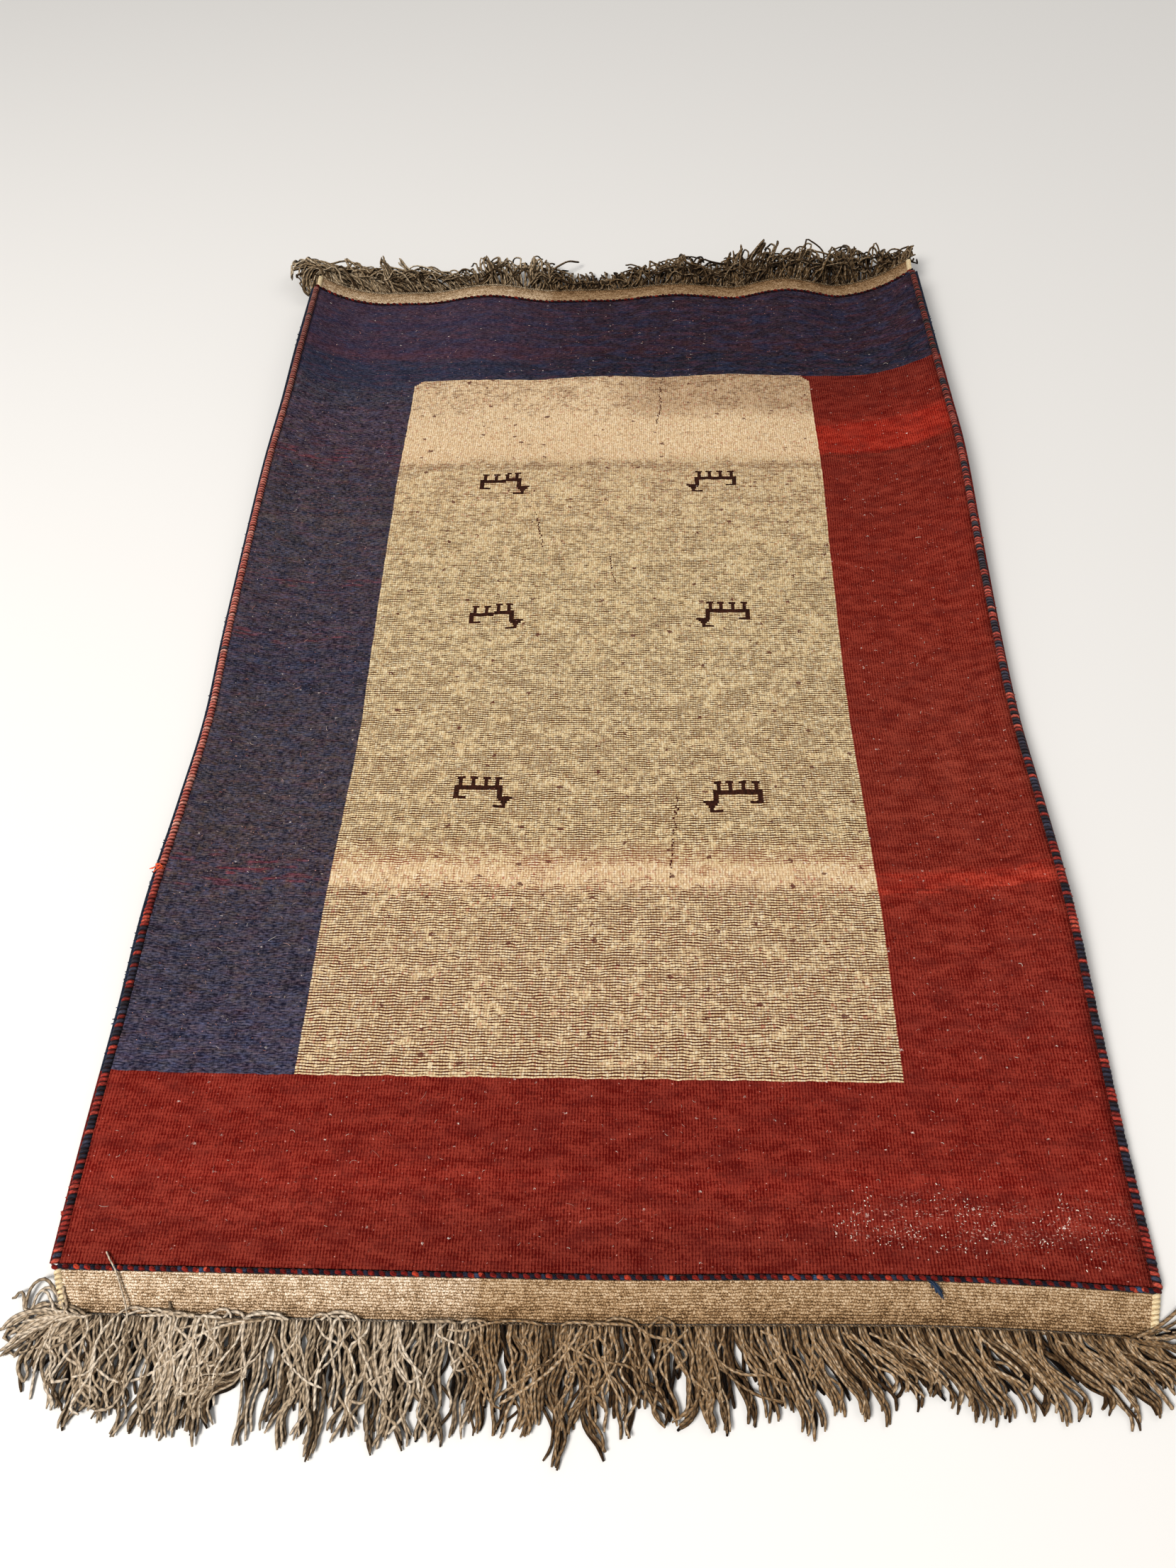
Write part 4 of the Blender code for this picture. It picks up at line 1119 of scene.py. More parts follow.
# The near fringe: strands on the floor in pointed clumps. A clump: its roots
# from and to, its tip, the tips' spread, and a sideways bow.
NEAR_CLUMPS = (
    (-0.586, -0.574, -0.630, -0.968, 0.008, -0.006), (-0.584, -0.570, -0.622, -0.985, 0.008, -0.008),
    (-0.580, -0.568, -0.603, -1.016, 0.0015, -0.012), (-0.580, -0.556, -0.585, -0.998, 0.012, -0.016),
    (-0.572, -0.548, -0.562, -1.036, 0.006, -0.004), (-0.556, -0.540, -0.550, -1.050, 0.003, 0.004),
    (-0.562, -0.535, -0.514, -1.042, 0.012, -0.014), (-0.540, -0.515, -0.536, -1.040, 0.008, 0.006),
    (-0.520, -0.495, -0.506, -1.032, 0.007, 0.000), (-0.505, -0.485, -0.495, -1.057, 0.004, 0.000),
    (-0.495, -0.470, -0.476, -1.050, 0.007, 0.004), (-0.480, -0.455, -0.460, -1.055, 0.007, 0.000),
    (-0.465, -0.440, -0.440, -1.058, 0.007, -0.004), (-0.445, -0.425, -0.425, -1.050, 0.006, 0.000),
    (-0.430, -0.405, -0.409, -1.060, 0.006, 0.006), (-0.410, -0.385, -0.420, -1.038, 0.010, 0.010),
    (-0.395, -0.368, -0.400, -1.046, 0.006, 0.008), (-0.372, -0.345, -0.436, -1.032, 0.010, 0.012),
    (-0.368, -0.345, -0.360, -1.060, 0.007, 0.000), (-0.350, -0.325, -0.337, -1.052, 0.006, 0.000),
    (-0.330, -0.308, -0.318, -1.061, 0.005, 0.003), (-0.312, -0.292, -0.300, -1.056, 0.006, 0.000),
    (-0.300, -0.275, -0.287, -1.071, 0.005, -0.004), (-0.280, -0.255, -0.262, -1.054, 0.008, 0.004),
    (-0.262, -0.240, -0.248, -1.043, 0.006, 0.000), (-0.245, -0.220, -0.224, -1.063, 0.004, 0.004),
    (-0.230, -0.205, -0.212, -1.050, 0.006, 0.000), (-0.210, -0.185, -0.190, -1.060, 0.006, 0.000),
    (-0.190, -0.165, -0.172, -1.055, 0.007, 0.003), (-0.170, -0.150, -0.156, -1.055, 0.006, 0.000),
    (-0.152, -0.132, -0.140, -1.050, 0.006, 0.003), (-0.137, -0.118, -0.129, -1.034, 0.005, 0.006),
    (-0.122, -0.105, -0.118, -1.047, 0.003, 0.004), (-0.108, -0.085, -0.096, -1.048, 0.005, 0.004),
    (-0.090, -0.065, -0.073, -1.045, 0.005, 0.000), (-0.070, -0.050, -0.058, -1.034, 0.006, -0.004),
    (-0.052, -0.022, -0.036, -1.072, 0.006, 0.000), (-0.034, -0.010, -0.022, -1.044, 0.006, 0.000),
    (-0.012, 0.004, 0.013, -1.064, 0.0015, -0.010), (0.000, 0.020, 0.006, -1.045, 0.004, 0.000),
    (0.015, 0.038, 0.034, -1.046, 0.005, 0.000), (0.035, 0.055, 0.050, -1.020, 0.006, 0.000),
    (0.050, 0.078, 0.078, -1.034, 0.006, -0.006), (0.075, 0.100, 0.088, -1.034, 0.005, 0.014),
    (0.098, 0.114, 0.117, -1.029, 0.002, 0.000), (0.108, 0.126, 0.122, -1.036, 0.003, 0.003),
    (0.118, 0.138, 0.138, -1.040, 0.003, 0.000), (0.132, 0.155, 0.165, -1.030, 0.006, 0.000),
    (0.150, 0.170, 0.186, -1.028, 0.006, 0.000), (0.165, 0.185, 0.202, -1.018, 0.006, 0.000),
    (0.178, 0.198, 0.219, -1.043, 0.004, 0.000), (0.195, 0.212, 0.233, -1.035, 0.005, 0.000),
    (0.208, 0.230, 0.250, -1.020, 0.006, 0.000), (0.228, 0.250, 0.278, -1.021, 0.006, 0.000),
    (0.245, 0.268, 0.302, -1.026, 0.006, 0.000), (0.265, 0.285, 0.314, -1.000, 0.007, 0.000),
    (0.280, 0.300, 0.334, -1.012, 0.005, 0.000), (0.298, 0.318, 0.350, -1.000, 0.006, 0.000),
    (0.315, 0.335, 0.370, -1.015, 0.006, 0.000), (0.332, 0.352, 0.388, -1.020, 0.006, 0.000),
    (0.350, 0.372, 0.405, -1.025, 0.007, 0.000), (0.368, 0.390, 0.424, -1.024, 0.006, 0.000),
    (0.388, 0.408, 0.447, -1.023, 0.005, 0.000), (0.405, 0.428, 0.462, -1.012, 0.007, 0.000),
    (0.425, 0.445, 0.477, -1.023, 0.005, 0.000), (0.443, 0.465, 0.498, -1.019, 0.006, 0.000),
    (0.462, 0.482, 0.521, -1.010, 0.006, 0.000), (0.480, 0.503, 0.548, -1.027, 0.004, 0.000),
    (0.500, 0.520, 0.557, -0.996, 0.006, 0.000), (0.518, 0.540, 0.573, -1.014, 0.002, 0.000),
    (0.535, 0.560, 0.592, -0.992, 0.007, 0.000), (0.555, 0.578, 0.612, -0.976, 0.009, 0.000),
    (0.566, 0.582, 0.628, -0.960, 0.009, 0.000), (0.574, 0.585, 0.634, -0.938, 0.009, 0.000),
)
# Single strands that stray over the clumps, from root to tip
NEAR_STRAYS = (
    ((-0.352, -0.940), (-0.400, -0.944), (-0.450, -0.953), (-0.475, -0.972)),
    ((-0.348, -0.940), (-0.405, -0.950), (-0.445, -0.968), (-0.462, -0.985)),
    ((-0.370, -0.940), (-0.420, -0.956), (-0.462, -0.992), (-0.500, -1.003), (-0.528, -0.990)),
    ((-0.345, -0.940), (-0.372, -0.942), (-0.415, -0.941), (-0.455, -0.937), (-0.464, -0.925)),
    ((-0.425, -0.940), (-0.405, -0.962), (-0.394, -0.974), (-0.408, -0.984), (-0.418, -0.972),
     (-0.404, -0.962)),
    ((-0.500, -0.940), (-0.503, -0.962), (-0.498, -0.986), (-0.506, -1.002)),
    ((-0.552, -0.940), (-0.575, -0.932), (-0.600, -0.938), (-0.612, -0.952), (-0.604, -0.966)),
    ((-0.545, -0.940), (-0.580, -0.950), (-0.596, -0.968), (-0.604, -0.985)),
    ((-0.560, -0.940), (-0.590, -0.930), (-0.612, -0.936), (-0.618, -0.950), (-0.632, -0.962)),
    ((-0.572, -0.940), (-0.590, -0.920), (-0.606, -0.906), (-0.620, -0.914), (-0.622, -0.935),
     (-0.612, -0.950)),
    ((-0.574, -0.940), (-0.586, -0.925), (-0.600, -0.914), (-0.612, -0.922), (-0.616, -0.940),
     (-0.630, -0.952)),
    ((-0.566, -0.940), (-0.588, -0.944), (-0.610, -0.956), (-0.634, -0.974)),
    ((-0.562, -0.940), (-0.592, -0.950), (-0.618, -0.966), (-0.636, -0.982)),
    ((-0.320, -0.940), (-0.318, -0.962), (-0.330, -0.974), (-0.318, -0.985), (-0.300, -0.998),
     (-0.282, -1.004)),
    ((-0.300, -0.940), (-0.288, -0.955), (-0.272, -0.962)),
    ((-0.186, -0.940), (-0.196, -0.962), (-0.212, -0.985), (-0.232, -0.998)),
    ((-0.214, -0.940), (-0.200, -0.968), (-0.186, -0.985), (-0.180, -1.005)),
    ((-0.020, -0.940), (-0.040, -0.968), (-0.072, -0.990), (-0.100, -1.008)),
    ((-0.012, -0.940), (-0.034, -0.972), (-0.064, -0.996), (-0.096, -1.014)),
    ((-0.055, -0.940), (-0.080, -0.936), (-0.110, -0.939), (-0.138, -0.947), (-0.156, -0.946)),
    ((-0.050, -0.940), (-0.044, -0.972), (-0.062, -0.980)),
    ((0.002, -0.941), (0.006, -0.970), (0.040, -0.978), (0.056, -1.002), (0.070, -1.026)),
    ((0.048, -0.940), (0.062, -0.948), (0.085, -0.952), (0.098, -0.965), (0.086, -0.978)),
    ((0.100, -0.940), (0.084, -0.956), (0.070, -0.975), (0.078, -0.990)),
    ((0.058, -0.940), (0.070, -0.930), (0.086, -0.938), (0.078, -0.955), (0.066, -0.962)),
    ((0.112, -0.940), (0.128, -0.966), (0.150, -0.980), (0.178, -0.982)),
    ((0.120, -0.940), (0.134, -0.975), (0.165, -0.998), (0.198, -1.006)),
    ((0.148, -0.940), (0.160, -0.962), (0.176, -0.978), (0.200, -0.988)),
    ((0.176, -0.940), (0.192, -0.948), (0.194, -0.964), (0.182, -0.972)),
    ((0.232, -0.940), (0.228, -0.965), (0.224, -0.985), (0.232, -0.975), (0.238, -0.962)),
    ((0.262, -0.940), (0.290, -0.955), (0.322, -0.970), (0.348, -0.984)),
    ((0.270, -0.940), (0.300, -0.966), (0.326, -0.985), (0.340, -0.998)),
    ((0.290, -0.940), (0.318, -0.952), (0.344, -0.965), (0.356, -0.985)),
    ((0.430, -0.940), (0.448, -0.962), (0.450, -0.984), (0.440, -0.992)),
    ((0.352, -0.938), (0.358, -0.960), (0.352, -0.985), (0.348, -0.975)),
    ((0.560, -0.938), (0.584, -0.934), (0.612, -0.922), (0.626, -0.908)),
    ((0.566, -0.938), (0.590, -0.928), (0.616, -0.910), (0.622, -0.898)),
    ((0.572, -0.938), (0.596, -0.938), (0.620, -0.932), (0.632, -0.926)),
    ((0.550, -0.938), (0.586, -0.946), (0.614, -0.944), (0.634, -0.940)),
)
STRAND_RINGS = 18
STRAND_SPACING = 0.0031
STRAND_WIDTH = 0.00176
YARN_FLATNESS = 0.85
YARN_SIDES = 5
LOOSE_STRANDS = 56
UNDER_STRANDS = 300
BAND_LOOPS = 26
CORNER_CURLS = 16
LEFTMOST = -0.664
NEAREST = -1.03


def curve_through(points, count):
    """A smooth line of count points through a few given ones."""
    points = np.array(points, float)
    padded = np.vstack([2 * points[0] - points[1], points, 2 * points[-1] - points[-2]])
    line = []
    for k in range(len(points) - 1):
        a, b, c, d = padded[k:k + 4]
        for t in np.linspace(0, 1, 12, endpoint=False):
            line.append(0.5 * (2 * b + (c - a) * t + (2 * a - 5 * b + 4 * c - d) * t * t
                               + (3 * b - a - 3 * c + d) * t ** 3))
    line = np.array(line + [points[-1]])
    run = np.concatenate([[0], np.cumsum(np.linalg.norm(np.diff(line, axis=0), axis=1))])
    even = np.linspace(0, run[-1], count)
    return np.stack([np.interp(even, run, line[:, k]) for k in range(line.shape[1])], axis=1)


class Heap:
    """How high the strands already lie at each place, so that the next one rests on them."""

    CELL = 0.0015

    def __init__(self, low, high):
        self.low = np.array(low)
        size = np.ceil((np.array(high) - self.low) / self.CELL).astype(int) + 1
        self.top = np.zeros(size)

    def cells(self, line):
        """The cells within one of each place on a line."""
        middle = np.round((line[:, :2] - self.low) / self.CELL).astype(int)
        spread = np.array([(i, j) for i in (-1, 0, 1) for j in (-1, 0, 1)])
        found = middle[:, None, :] + spread[None]
        last_i, last_j = self.top.shape[0] - 1, self.top.shape[1] - 1
        return np.clip(found[..., 0], 0, last_i), np.clip(found[..., 1], 0, last_j)

    def settle(self, line, thickness, least, give=0.72):
        """Lay a line of places on the heap: give it its height and add it to the heap."""
        i, j = self.cells(line)
        under = self.top[i, j].max(axis=1)
        height = np.maximum(under * give + thickness, least)
        for _ in range(3):
            smooth = np.convolve(np.pad(height, 1, "edge"), (0.25, 0.5, 0.25), "valid")
            height = np.maximum(smooth, under * give + thickness * 0.8)
        top = height + thickness * 0.75
        for k in range(9):
            np.maximum.at(self.top, (i[:, k], j[:, k]), top)
        return height


def wander(chance, count, rings, size, waves):
    """Smooth sideways strays for count strands, that start at 0 at the root."""
    way = np.linspace(0, 1, rings)
    total = np.zeros((count, rings))
    for wave in waves:
        phase = chance.uniform(0, 2 * np.pi, (count, 1))
        strength = chance.normal(0, 1, (count, 1))
        total += strength * (np.sin(2 * np.pi * wave * way + phase) - np.sin(phase)) / wave
    return total * size * np.minimum(way * 4, 1)


def strand_widths(chance, count, rings, width):
    """The yarn's half width from root to tip, a little uneven, with a blunt frayed tip."""
    way = np.linspace(0, 1, rings)
    shape = np.interp(way, (0, 0.04, 0.88, 0.95, 1), (0.8, 1.0, 1.0, 1.08, 0.62))
    uneven = 1 + 0.10 * wander(chance, count, rings, 1.0, (3, 5))
    return width * shape * np.clip(uneven, 0.7, 1.35) * chance.uniform(0.82, 1.15, (count, 1))


chance = np.random.default_rng(7)
clump_roots = [(low + high) / 2 for low, high, *_ in NEAR_CLUMPS]
clump_leans = [tip_x - (low + high) / 2 for low, high, tip_x, *_ in NEAR_CLUMPS]
strands = []
for number, (low, high, tip_x, tip_y, spread, bow) in enumerate(NEAR_CLUMPS):
    count = max(4, round((high - low) / STRAND_SPACING))
    roots = np.linspace(low, high, count) + chance.normal(0, 0.0009, count)
    for root, side in zip(roots, np.linspace(-1, 1, count)):
        x, y, _ = lay(np.array([[root, -HEADING_MIDDLE, 0.0022]]))[0]
        end_x = tip_x + side * spread + chance.normal(0, spread * 0.45)
        end_y = tip_y + abs(chance.normal(0, 0.007)) + 0.004 * side ** 2
        if chance.uniform() < 0.16:
            end_y += chance.uniform(0.010, 0.036)
        out = y - end_y
        gather = tip_x + (root - (low + high) / 2) * 0.45
        strands.append((abs(side) + chance.uniform(0, 1.4), number, curve_through((
            (x, y),
            (x + 0.12 * (end_x - x) + bow * 0.5, y - out * 0.22),
            (0.5 * (x + gather) + bow + 0.1 * (end_x - x), y - out * 0.55),
            (gather * 0.4 + end_x * 0.6 + bow * 0.3, y - out * 0.83),
            (end_x, end_y),
        ), STRAND_RINGS)))
strands.sort(key=lambda strand: strand[0])
clump = np.array([number for _, number, _ in strands])
lines = np.array([line for _, _, line in strands])
sideways = wander(chance, len(lines), STRAND_RINGS, 0.0038, (1, 2, 3))
sideways += wander(chance, len(NEAR_CLUMPS), STRAND_RINGS, 0.0044, (1, 2))[clump]
sideways *= 1 - 0.55 * ease((lines[:, :1, 0] - 0.05) / 0.15)
run = np.gradient(lines, axis=1)
run /= np.linalg.norm(run, axis=2, keepdims=True)
lines[..., 0] -= sideways * run[..., 1]
lines[..., 1] += sideways * run[..., 0]
under = []
for root in np.linspace(-0.576, 0.578, UNDER_STRANDS) + chance.normal(0, 0.001, UNDER_STRANDS):
    x, y, _ = lay(np.array([[root, -HEADING_MIDDLE, 0.0022]]))[0]
    out = chance.uniform(0.045, 0.086) * (1 - 0.45 * max(root - 0.1, 0) / 0.5)
    aside = 0.8 * np.interp(root, clump_roots, clump_leans) + chance.normal(0, 0.007)
    under.append(curve_through((
        (x, y), (x + aside * 0.2 + chance.normal(0, 0.003), y - out * 0.3),
        (x + aside * 0.7 + chance.normal(0, 0.004), y - out * 0.7), (x + aside, y - out),
    ), STRAND_RINGS))
strays = [curve_through(points, STRAND_RINGS) for points in NEAR_STRAYS]
for _ in range(LOOSE_STRANDS):
    root = chance.uniform(-0.560, 0.560)
    x, y, _ = lay(np.array([[root, -HEADING_MIDDLE, 0.0022]]))[0]
    loose = 1 - 0.75 * float(ease((root - 0.05) / 0.15))
    lean = 0.9 * np.interp(root, clump_roots, clump_leans) + chance.normal(0, 0.026) * loose
    out = chance.uniform(0.035, 0.088) * (0.7 + 0.3 * loose)
    hook = chance.normal(0, 0.012) * loose
    strays.append(curve_through((
        (x, y), (x + lean * 0.15 + chance.normal(0, 0.006) * loose, y - out * 0.28),
        (x + lean * 0.6 + chance.normal(0, 0.009) * loose, y - out * 0.62),
        (x + lean, y - out), (x + lean + hook, y - out + chance.uniform(-0.008, 0.010)),
    ), STRAND_RINGS))
for _ in range(BAND_LOOPS):
    root = chance.uniform(-0.572, -0.280) if chance.uniform() < 0.8 else chance.uniform(-0.28, 0.10)
    x, y, _ = lay(np.array([[root, -HEADING_MIDDLE, 0.0022]]))[0]
    rise = chance.uniform(0.000, 0.010)
    aside = chance.choice((-1, 1)) * chance.uniform(0.014, 0.055)
    strays.append(curve_through((
        (x, y), (x + aside * 0.15, y + rise * 0.7), (x + aside * 0.5, y + rise),
        (x + aside, y + rise * 0.1), (x + aside * 1.1, y - 0.022), (x + aside * 1.5, y - 0.050),
        (x + aside * 1.4, y - chance.uniform(0.055, 0.085)),
    ), STRAND_RINGS))
for _ in range(CORNER_CURLS):
    root = chance.uniform(-0.577, -0.548)
    x, y, _ = lay(np.array([[root, -HEADING_MIDDLE, 0.0022]]))[0]
    turn = chance.uniform(1.7, 3.5) + np.cumsum(chance.normal(0.10, 0.30, 6))
    step = chance.uniform(0.008, 0.014)
    curl = [(x, y), (x - 0.006, y - 0.002)]
    for angle in turn:
        curl_x, curl_y = curl[-1]
        curl.append((curl_x + step * math.cos(angle), curl_y + step * math.sin(angle) * 0.8 - 0.002))
    strays.append(curve_through(np.maximum(curl, (LEFTMOST, NEAREST)), STRAND_RINGS))
lines = np.concatenate([np.array(under), lines, np.array(strays)])
heap = Heap((-0.68, -1.11), (0.68, -0.86))
wide = strand_widths(chance, len(lines), STRAND_RINGS, STRAND_WIDTH)
way = np.linspace(0, 1, STRAND_RINGS)
least = np.interp(way, (0, 0.10, 0.3), (0.0026, 0.0024, 0.0013))
heights = np.array([heap.settle(line, 0.0014, least) for line in lines])
on_band = lines[..., 1] > -BAND_END - 0.004
heights = np.where(on_band, np.maximum(heights, end_lift(lines[..., 1]) + FOUNDATION + 0.0008), heights)
paths = np.concatenate([lines, heights[..., None]], axis=2)
# Painted shade: the strands laid first, low in the heap, get the darkest tones
tones = np.interp(np.arange(len(lines)) / len(lines), (0, 0.27, 0.36, 0.9, 1), (0.0, 0.05, 0.32, 0.74, 0.80))
tones = np.clip(tones + chance.normal(0, 0.16, len(lines)), 0.0, 1.0)
for name, pick in (("inner", slice(0, None, 2)), ("outer", slice(1, None, 2))):
    thick = wide[pick] * YARN_FLATNESS
    mesh = spin_yarns("fringe_near_" + name, paths[pick], wide[pick], thick, YARN_SIDES, tones=tones[pick])
    show("fringe_near_" + name, mesh, (fringe_wool["near"],), "fringe_wool", "fringe_near")


# The far fringe, crumpled up in a heap behind the band and combed to one side
# by the way it was thrown down. Place across, how far back it reaches, how far
# it leans sideways at its top, the heap's height, and how tangled it is.
FAR_HEAP = (
    (-0.600, 0.060, -0.048, 0.026, 0.5),
    (-0.560, 0.080, -0.080, 0.034, 0.8),
    (-0.500, 0.086, -0.125, 0.036, 1.0),
    (-0.450, 0.088, -0.135, 0.038, 1.0),
    (-0.400, 0.084, -0.125, 0.036, 0.9),
    (-0.350, 0.078, -0.105, 0.034, 0.9),
    (-0.310, 0.062, -0.075, 0.026, 0.7),
    (-0.270, 0.060, -0.026, 0.022, 0.8),
    (-0.235, 0.080, -0.012, 0.036, 1.0),
    (-0.200, 0.082, -0.014, 0.038, 1.0),
    (-0.150, 0.080, 0.002, 0.036, 0.9),
    (-0.110, 0.058, -0.006, 0.020, 0.4),
    (-0.050, 0.044, -0.006, 0.011, 0.3),
    (0.000, 0.048, -0.008, 0.012, 0.4),
    (0.030, 0.064, -0.020, 0.026, 0.6),
    (0.070, 0.078, 0.004, 0.028, 0.9),
    (0.110, 0.084, 0.010, 0.034, 1.0),
    (0.150, 0.084, -0.006, 0.034, 1.1),
    (0.190, 0.072, 0.006, 0.022, 0.8),
    (0.240, 0.088, 0.008, 0.042, 0.7),
    (0.285, 0.090, 0.010, 0.044, 1.0),
    (0.340, 0.094, 0.022, 0.042, 1.3),
    (0.400, 0.096, 0.016, 0.044, 1.3),
    (0.470, 0.098, 0.004, 0.047, 0.9),
    (0.520, 0.082, 0.006, 0.034, 0.7),
    (0.555, 0.066, 0.006, 0.026, 0.6),
    (0.600, 0.056, 0.010, 0.026, 0.5),
)
# Tufts that stand out of the heap: root, tip across, tip height, strands
FAR_TUFTS = (
    (-0.515, -0.541, 0.052, 6), (-0.440, -0.470, 0.058, 7), (-0.405, -0.433, 0.053, 5),
    (-0.160, -0.162, 0.048, 6), (-0.142, -0.140, 0.042, 5), (0.132, 0.136, 0.046, 5),
    (0.226, 0.230, 0.054, 6), (0.242, 0.250, 0.066, 8), (0.262, 0.293, 0.074, 9),
    (0.455, 0.474, 0.056, 6), (0.570, 0.586, 0.036, 5),
)
FAR_STRANDS = 540
FAR_RINGS = 20
FAR_ACROSS = 230
FAR_CORNER_CURLS = 16
FAR_LEFTMOST = -0.655
chance = np.random.default_rng(12)
roots = np.linspace(-0.594, 0.584, FAR_STRANDS) + chance.normal(0, 0.001, FAR_STRANDS)
starts = lay(np.stack([roots, np.full(FAR_STRANDS, HEADING_MIDDLE), np.full(FAR_STRANDS, 0.0024)], axis=1))
lock = np.round(roots / 0.018 + 0.4 * np.sin(roots * 40)).astype(int)
lock_shift = {number: chance.normal(0, 1, 4) for number in sorted(set(lock))}
shift = np.array([lock_shift[number] for number in lock])
reach, lean, heap_height, tangle = (follow(FAR_HEAP, k, roots) for k in range(1, 5))
layer = 0.14 + 0.90 * chance.permutation(np.linspace(0, 1, FAR_STRANDS)) ** 0.8
paths, tones = [], []
for k in range(FAR_STRANDS):
    x, y, z = starts[k]
    level = layer[k]
    out = reach[k] * (1 + 0.08 * shift[k, 0] + chance.normal(0, 0.06))
    top = z + heap_height[k] * level * (1 + 0.12 * shift[k, 1]) - 0.3 * z * level
    aside = lean[k] * (0.45 + 0.55 * level) + 0.009 * tangle[k] * (shift[k, 2] + chance.normal(0, 0.9))
    fall = aside * 1.35 + 0.012 * tangle[k] * (shift[k, 3] + chance.normal(0, 0.8))
    crest = y + out * (0.12 + 0.40 * level)
    if chance.uniform() < 0.58 * tangle[k]:
        drop = chance.uniform(0.25, 0.75)
        points = (
            (x, y, z), (x + aside * 0.30, y + (crest - y) * 0.35, z + (top - z) * 0.62),
            (x + aside * 0.85, crest - 0.002, top), (x + aside * 1.15 + 0.004, crest - 0.004, top * 0.97),
            (x + fall + 0.010, crest - 0.010, top * (1 - 0.45 * drop)),
            (x + fall + 0.012, y + 0.004 + (crest - y) * 0.3, z + (top - z) * (1 - drop)),
        )
    else:
        points = (
            (x, y, z), (x + aside * 0.22, y + (crest - y) * 0.30, z + (top - z) * 0.55),
            (x + aside * 0.62, y + (crest - y) * 0.72, z + (top - z) * 0.92), (x + aside, crest, top),
            (x + (aside + fall) * 0.5, crest + (y + out - crest) * 0.45, top * 0.80),
            (x + fall, y + out * (0.55 + 0.45 * level), 0.004 + top * 0.25),
        )
    paths.append(curve_through(points, FAR_RINGS))
    # Painted shade: strands low in the heap get darker tones
    tones.append(-0.12 + 0.78 * level + chance.normal(0, 0.16))
# Strands that cross the heap and lie on it
for _ in range(FAR_ACROSS):
    root = chance.uniform(-0.56, 0.56)
    wild = follow(FAR_HEAP, 4, np.array([root]))[0]
    way = -1 if root < -0.28 or chance.uniform() < 0.5 else 1
    length = way * chance.uniform(0.030, 0.085) * min(1.0, wild)
    x, y, z = lay(np.array([[root, HEADING_MIDDLE, 0.004]]))[0]
    back, tall = chance.uniform(0.08, 0.42), chance.uniform(0.62, 1.0)
    line = [(x, y, z)]
    for step in (0.12, 0.35, 0.6, 0.85, 1.0):
        at = np.array([x + length * step])
        out, top = follow(FAR_HEAP, 1, at)[0], follow(FAR_HEAP, 3, at)[0]
        base = lay(np.array([[at[0], HEADING_MIDDLE, 0.004]]))[0]
        rise = min(1.0, step * 4) * (tall + chance.normal(0, 0.10)) * (1 - 0.35 * step ** 3)
        line.append((at[0], base[1] + out * (back * min(1.0, step * 3) + chance.normal(0, 0.05)),
                     base[2] * 0.75 + top * rise))
    paths.append(curve_through(line, FAR_RINGS))
    tones.append(chance.uniform(0.25, 0.80))
for root, tip, height, count in FAR_TUFTS:
    for _ in range(count):
        x, y, z = lay(np.array([[root + chance.normal(0, 0.006), HEADING_MIDDLE, 0.003]]))[0]
        top = z * 0.5 + height * chance.uniform(0.78, 1.0)
        aside = tip + chance.normal(0, 0.0022) - x
        crook = chance.normal(0, 0.004)
        paths.append(curve_through((
            (x, y, z), (x + aside * 0.15 + crook, y + 0.014, z + (top - z) * 0.30),
            (x + aside * 0.55 - crook, y + 0.028, z + (top - z) * 0.66),
            (x + aside, y + 0.040 + chance.normal(0, 0.002), top),
        ), FAR_RINGS))
        tones.append(chance.uniform(0.4, 0.9))
# At the far left corner the strands curl round the end and hang off the edge
for _ in range(FAR_CORNER_CURLS):
    x, y, z = lay(np.array([[chance.uniform(-0.598, -0.572), HEADING_MIDDLE, 0.004]]))[0]
    grow = chance.uniform(0.70, 1.15)
    steps = np.array((
        (0, 0, 0), (-0.010, 0.013, 0.012), (-0.028, 0.014, 0.012), (-0.042, 0.002, 0.002),
        (-0.044, -0.016, -0.014), (-0.034, -0.027, -0.020), (-0.024, -0.022, -0.018),
    )) * grow + chance.normal(0, 0.0014, (7, 3))
    line = np.array([x, y, z]) + steps
    line[:, 2] = np.maximum(line[:, 2], 0.003)
    paths.append(curve_through(line, FAR_RINGS))
    tones.append(chance.uniform(0.25, 0.85))
paths = np.array(paths)
count = len(paths)
paths[..., 0] += wander(chance, count, FAR_RINGS, 0.0022, (1, 2, 3))
paths[..., 1] += wander(chance, count, FAR_RINGS, 0.0016, (1, 2, 3))
paths[..., 2] += wander(chance, count, FAR_RINGS, 0.0016, (1, 2, 3))
paths[..., 2] = np.maximum(paths[..., 2], 0.0020)
paths[..., 0] = np.maximum(paths[..., 0], FAR_LEFTMOST)
wide = strand_widths(chance, count, FAR_RINGS, STRAND_WIDTH * 1.08)
tones = np.clip(np.array(tones), 0.0, 1.0)
for name, pick in (("inner", slice(0, None, 2)), ("outer", slice(1, None, 2))):
    thick = wide[pick] * YARN_FLATNESS
    mesh = spin_yarns("fringe_far_" + name, paths[pick], wide[pick], thick, YARN_SIDES, tones=tones[pick])
    show("fringe_far_" + name, mesh, (fringe_wool["far"],), "fringe_wool", "fringe_far")


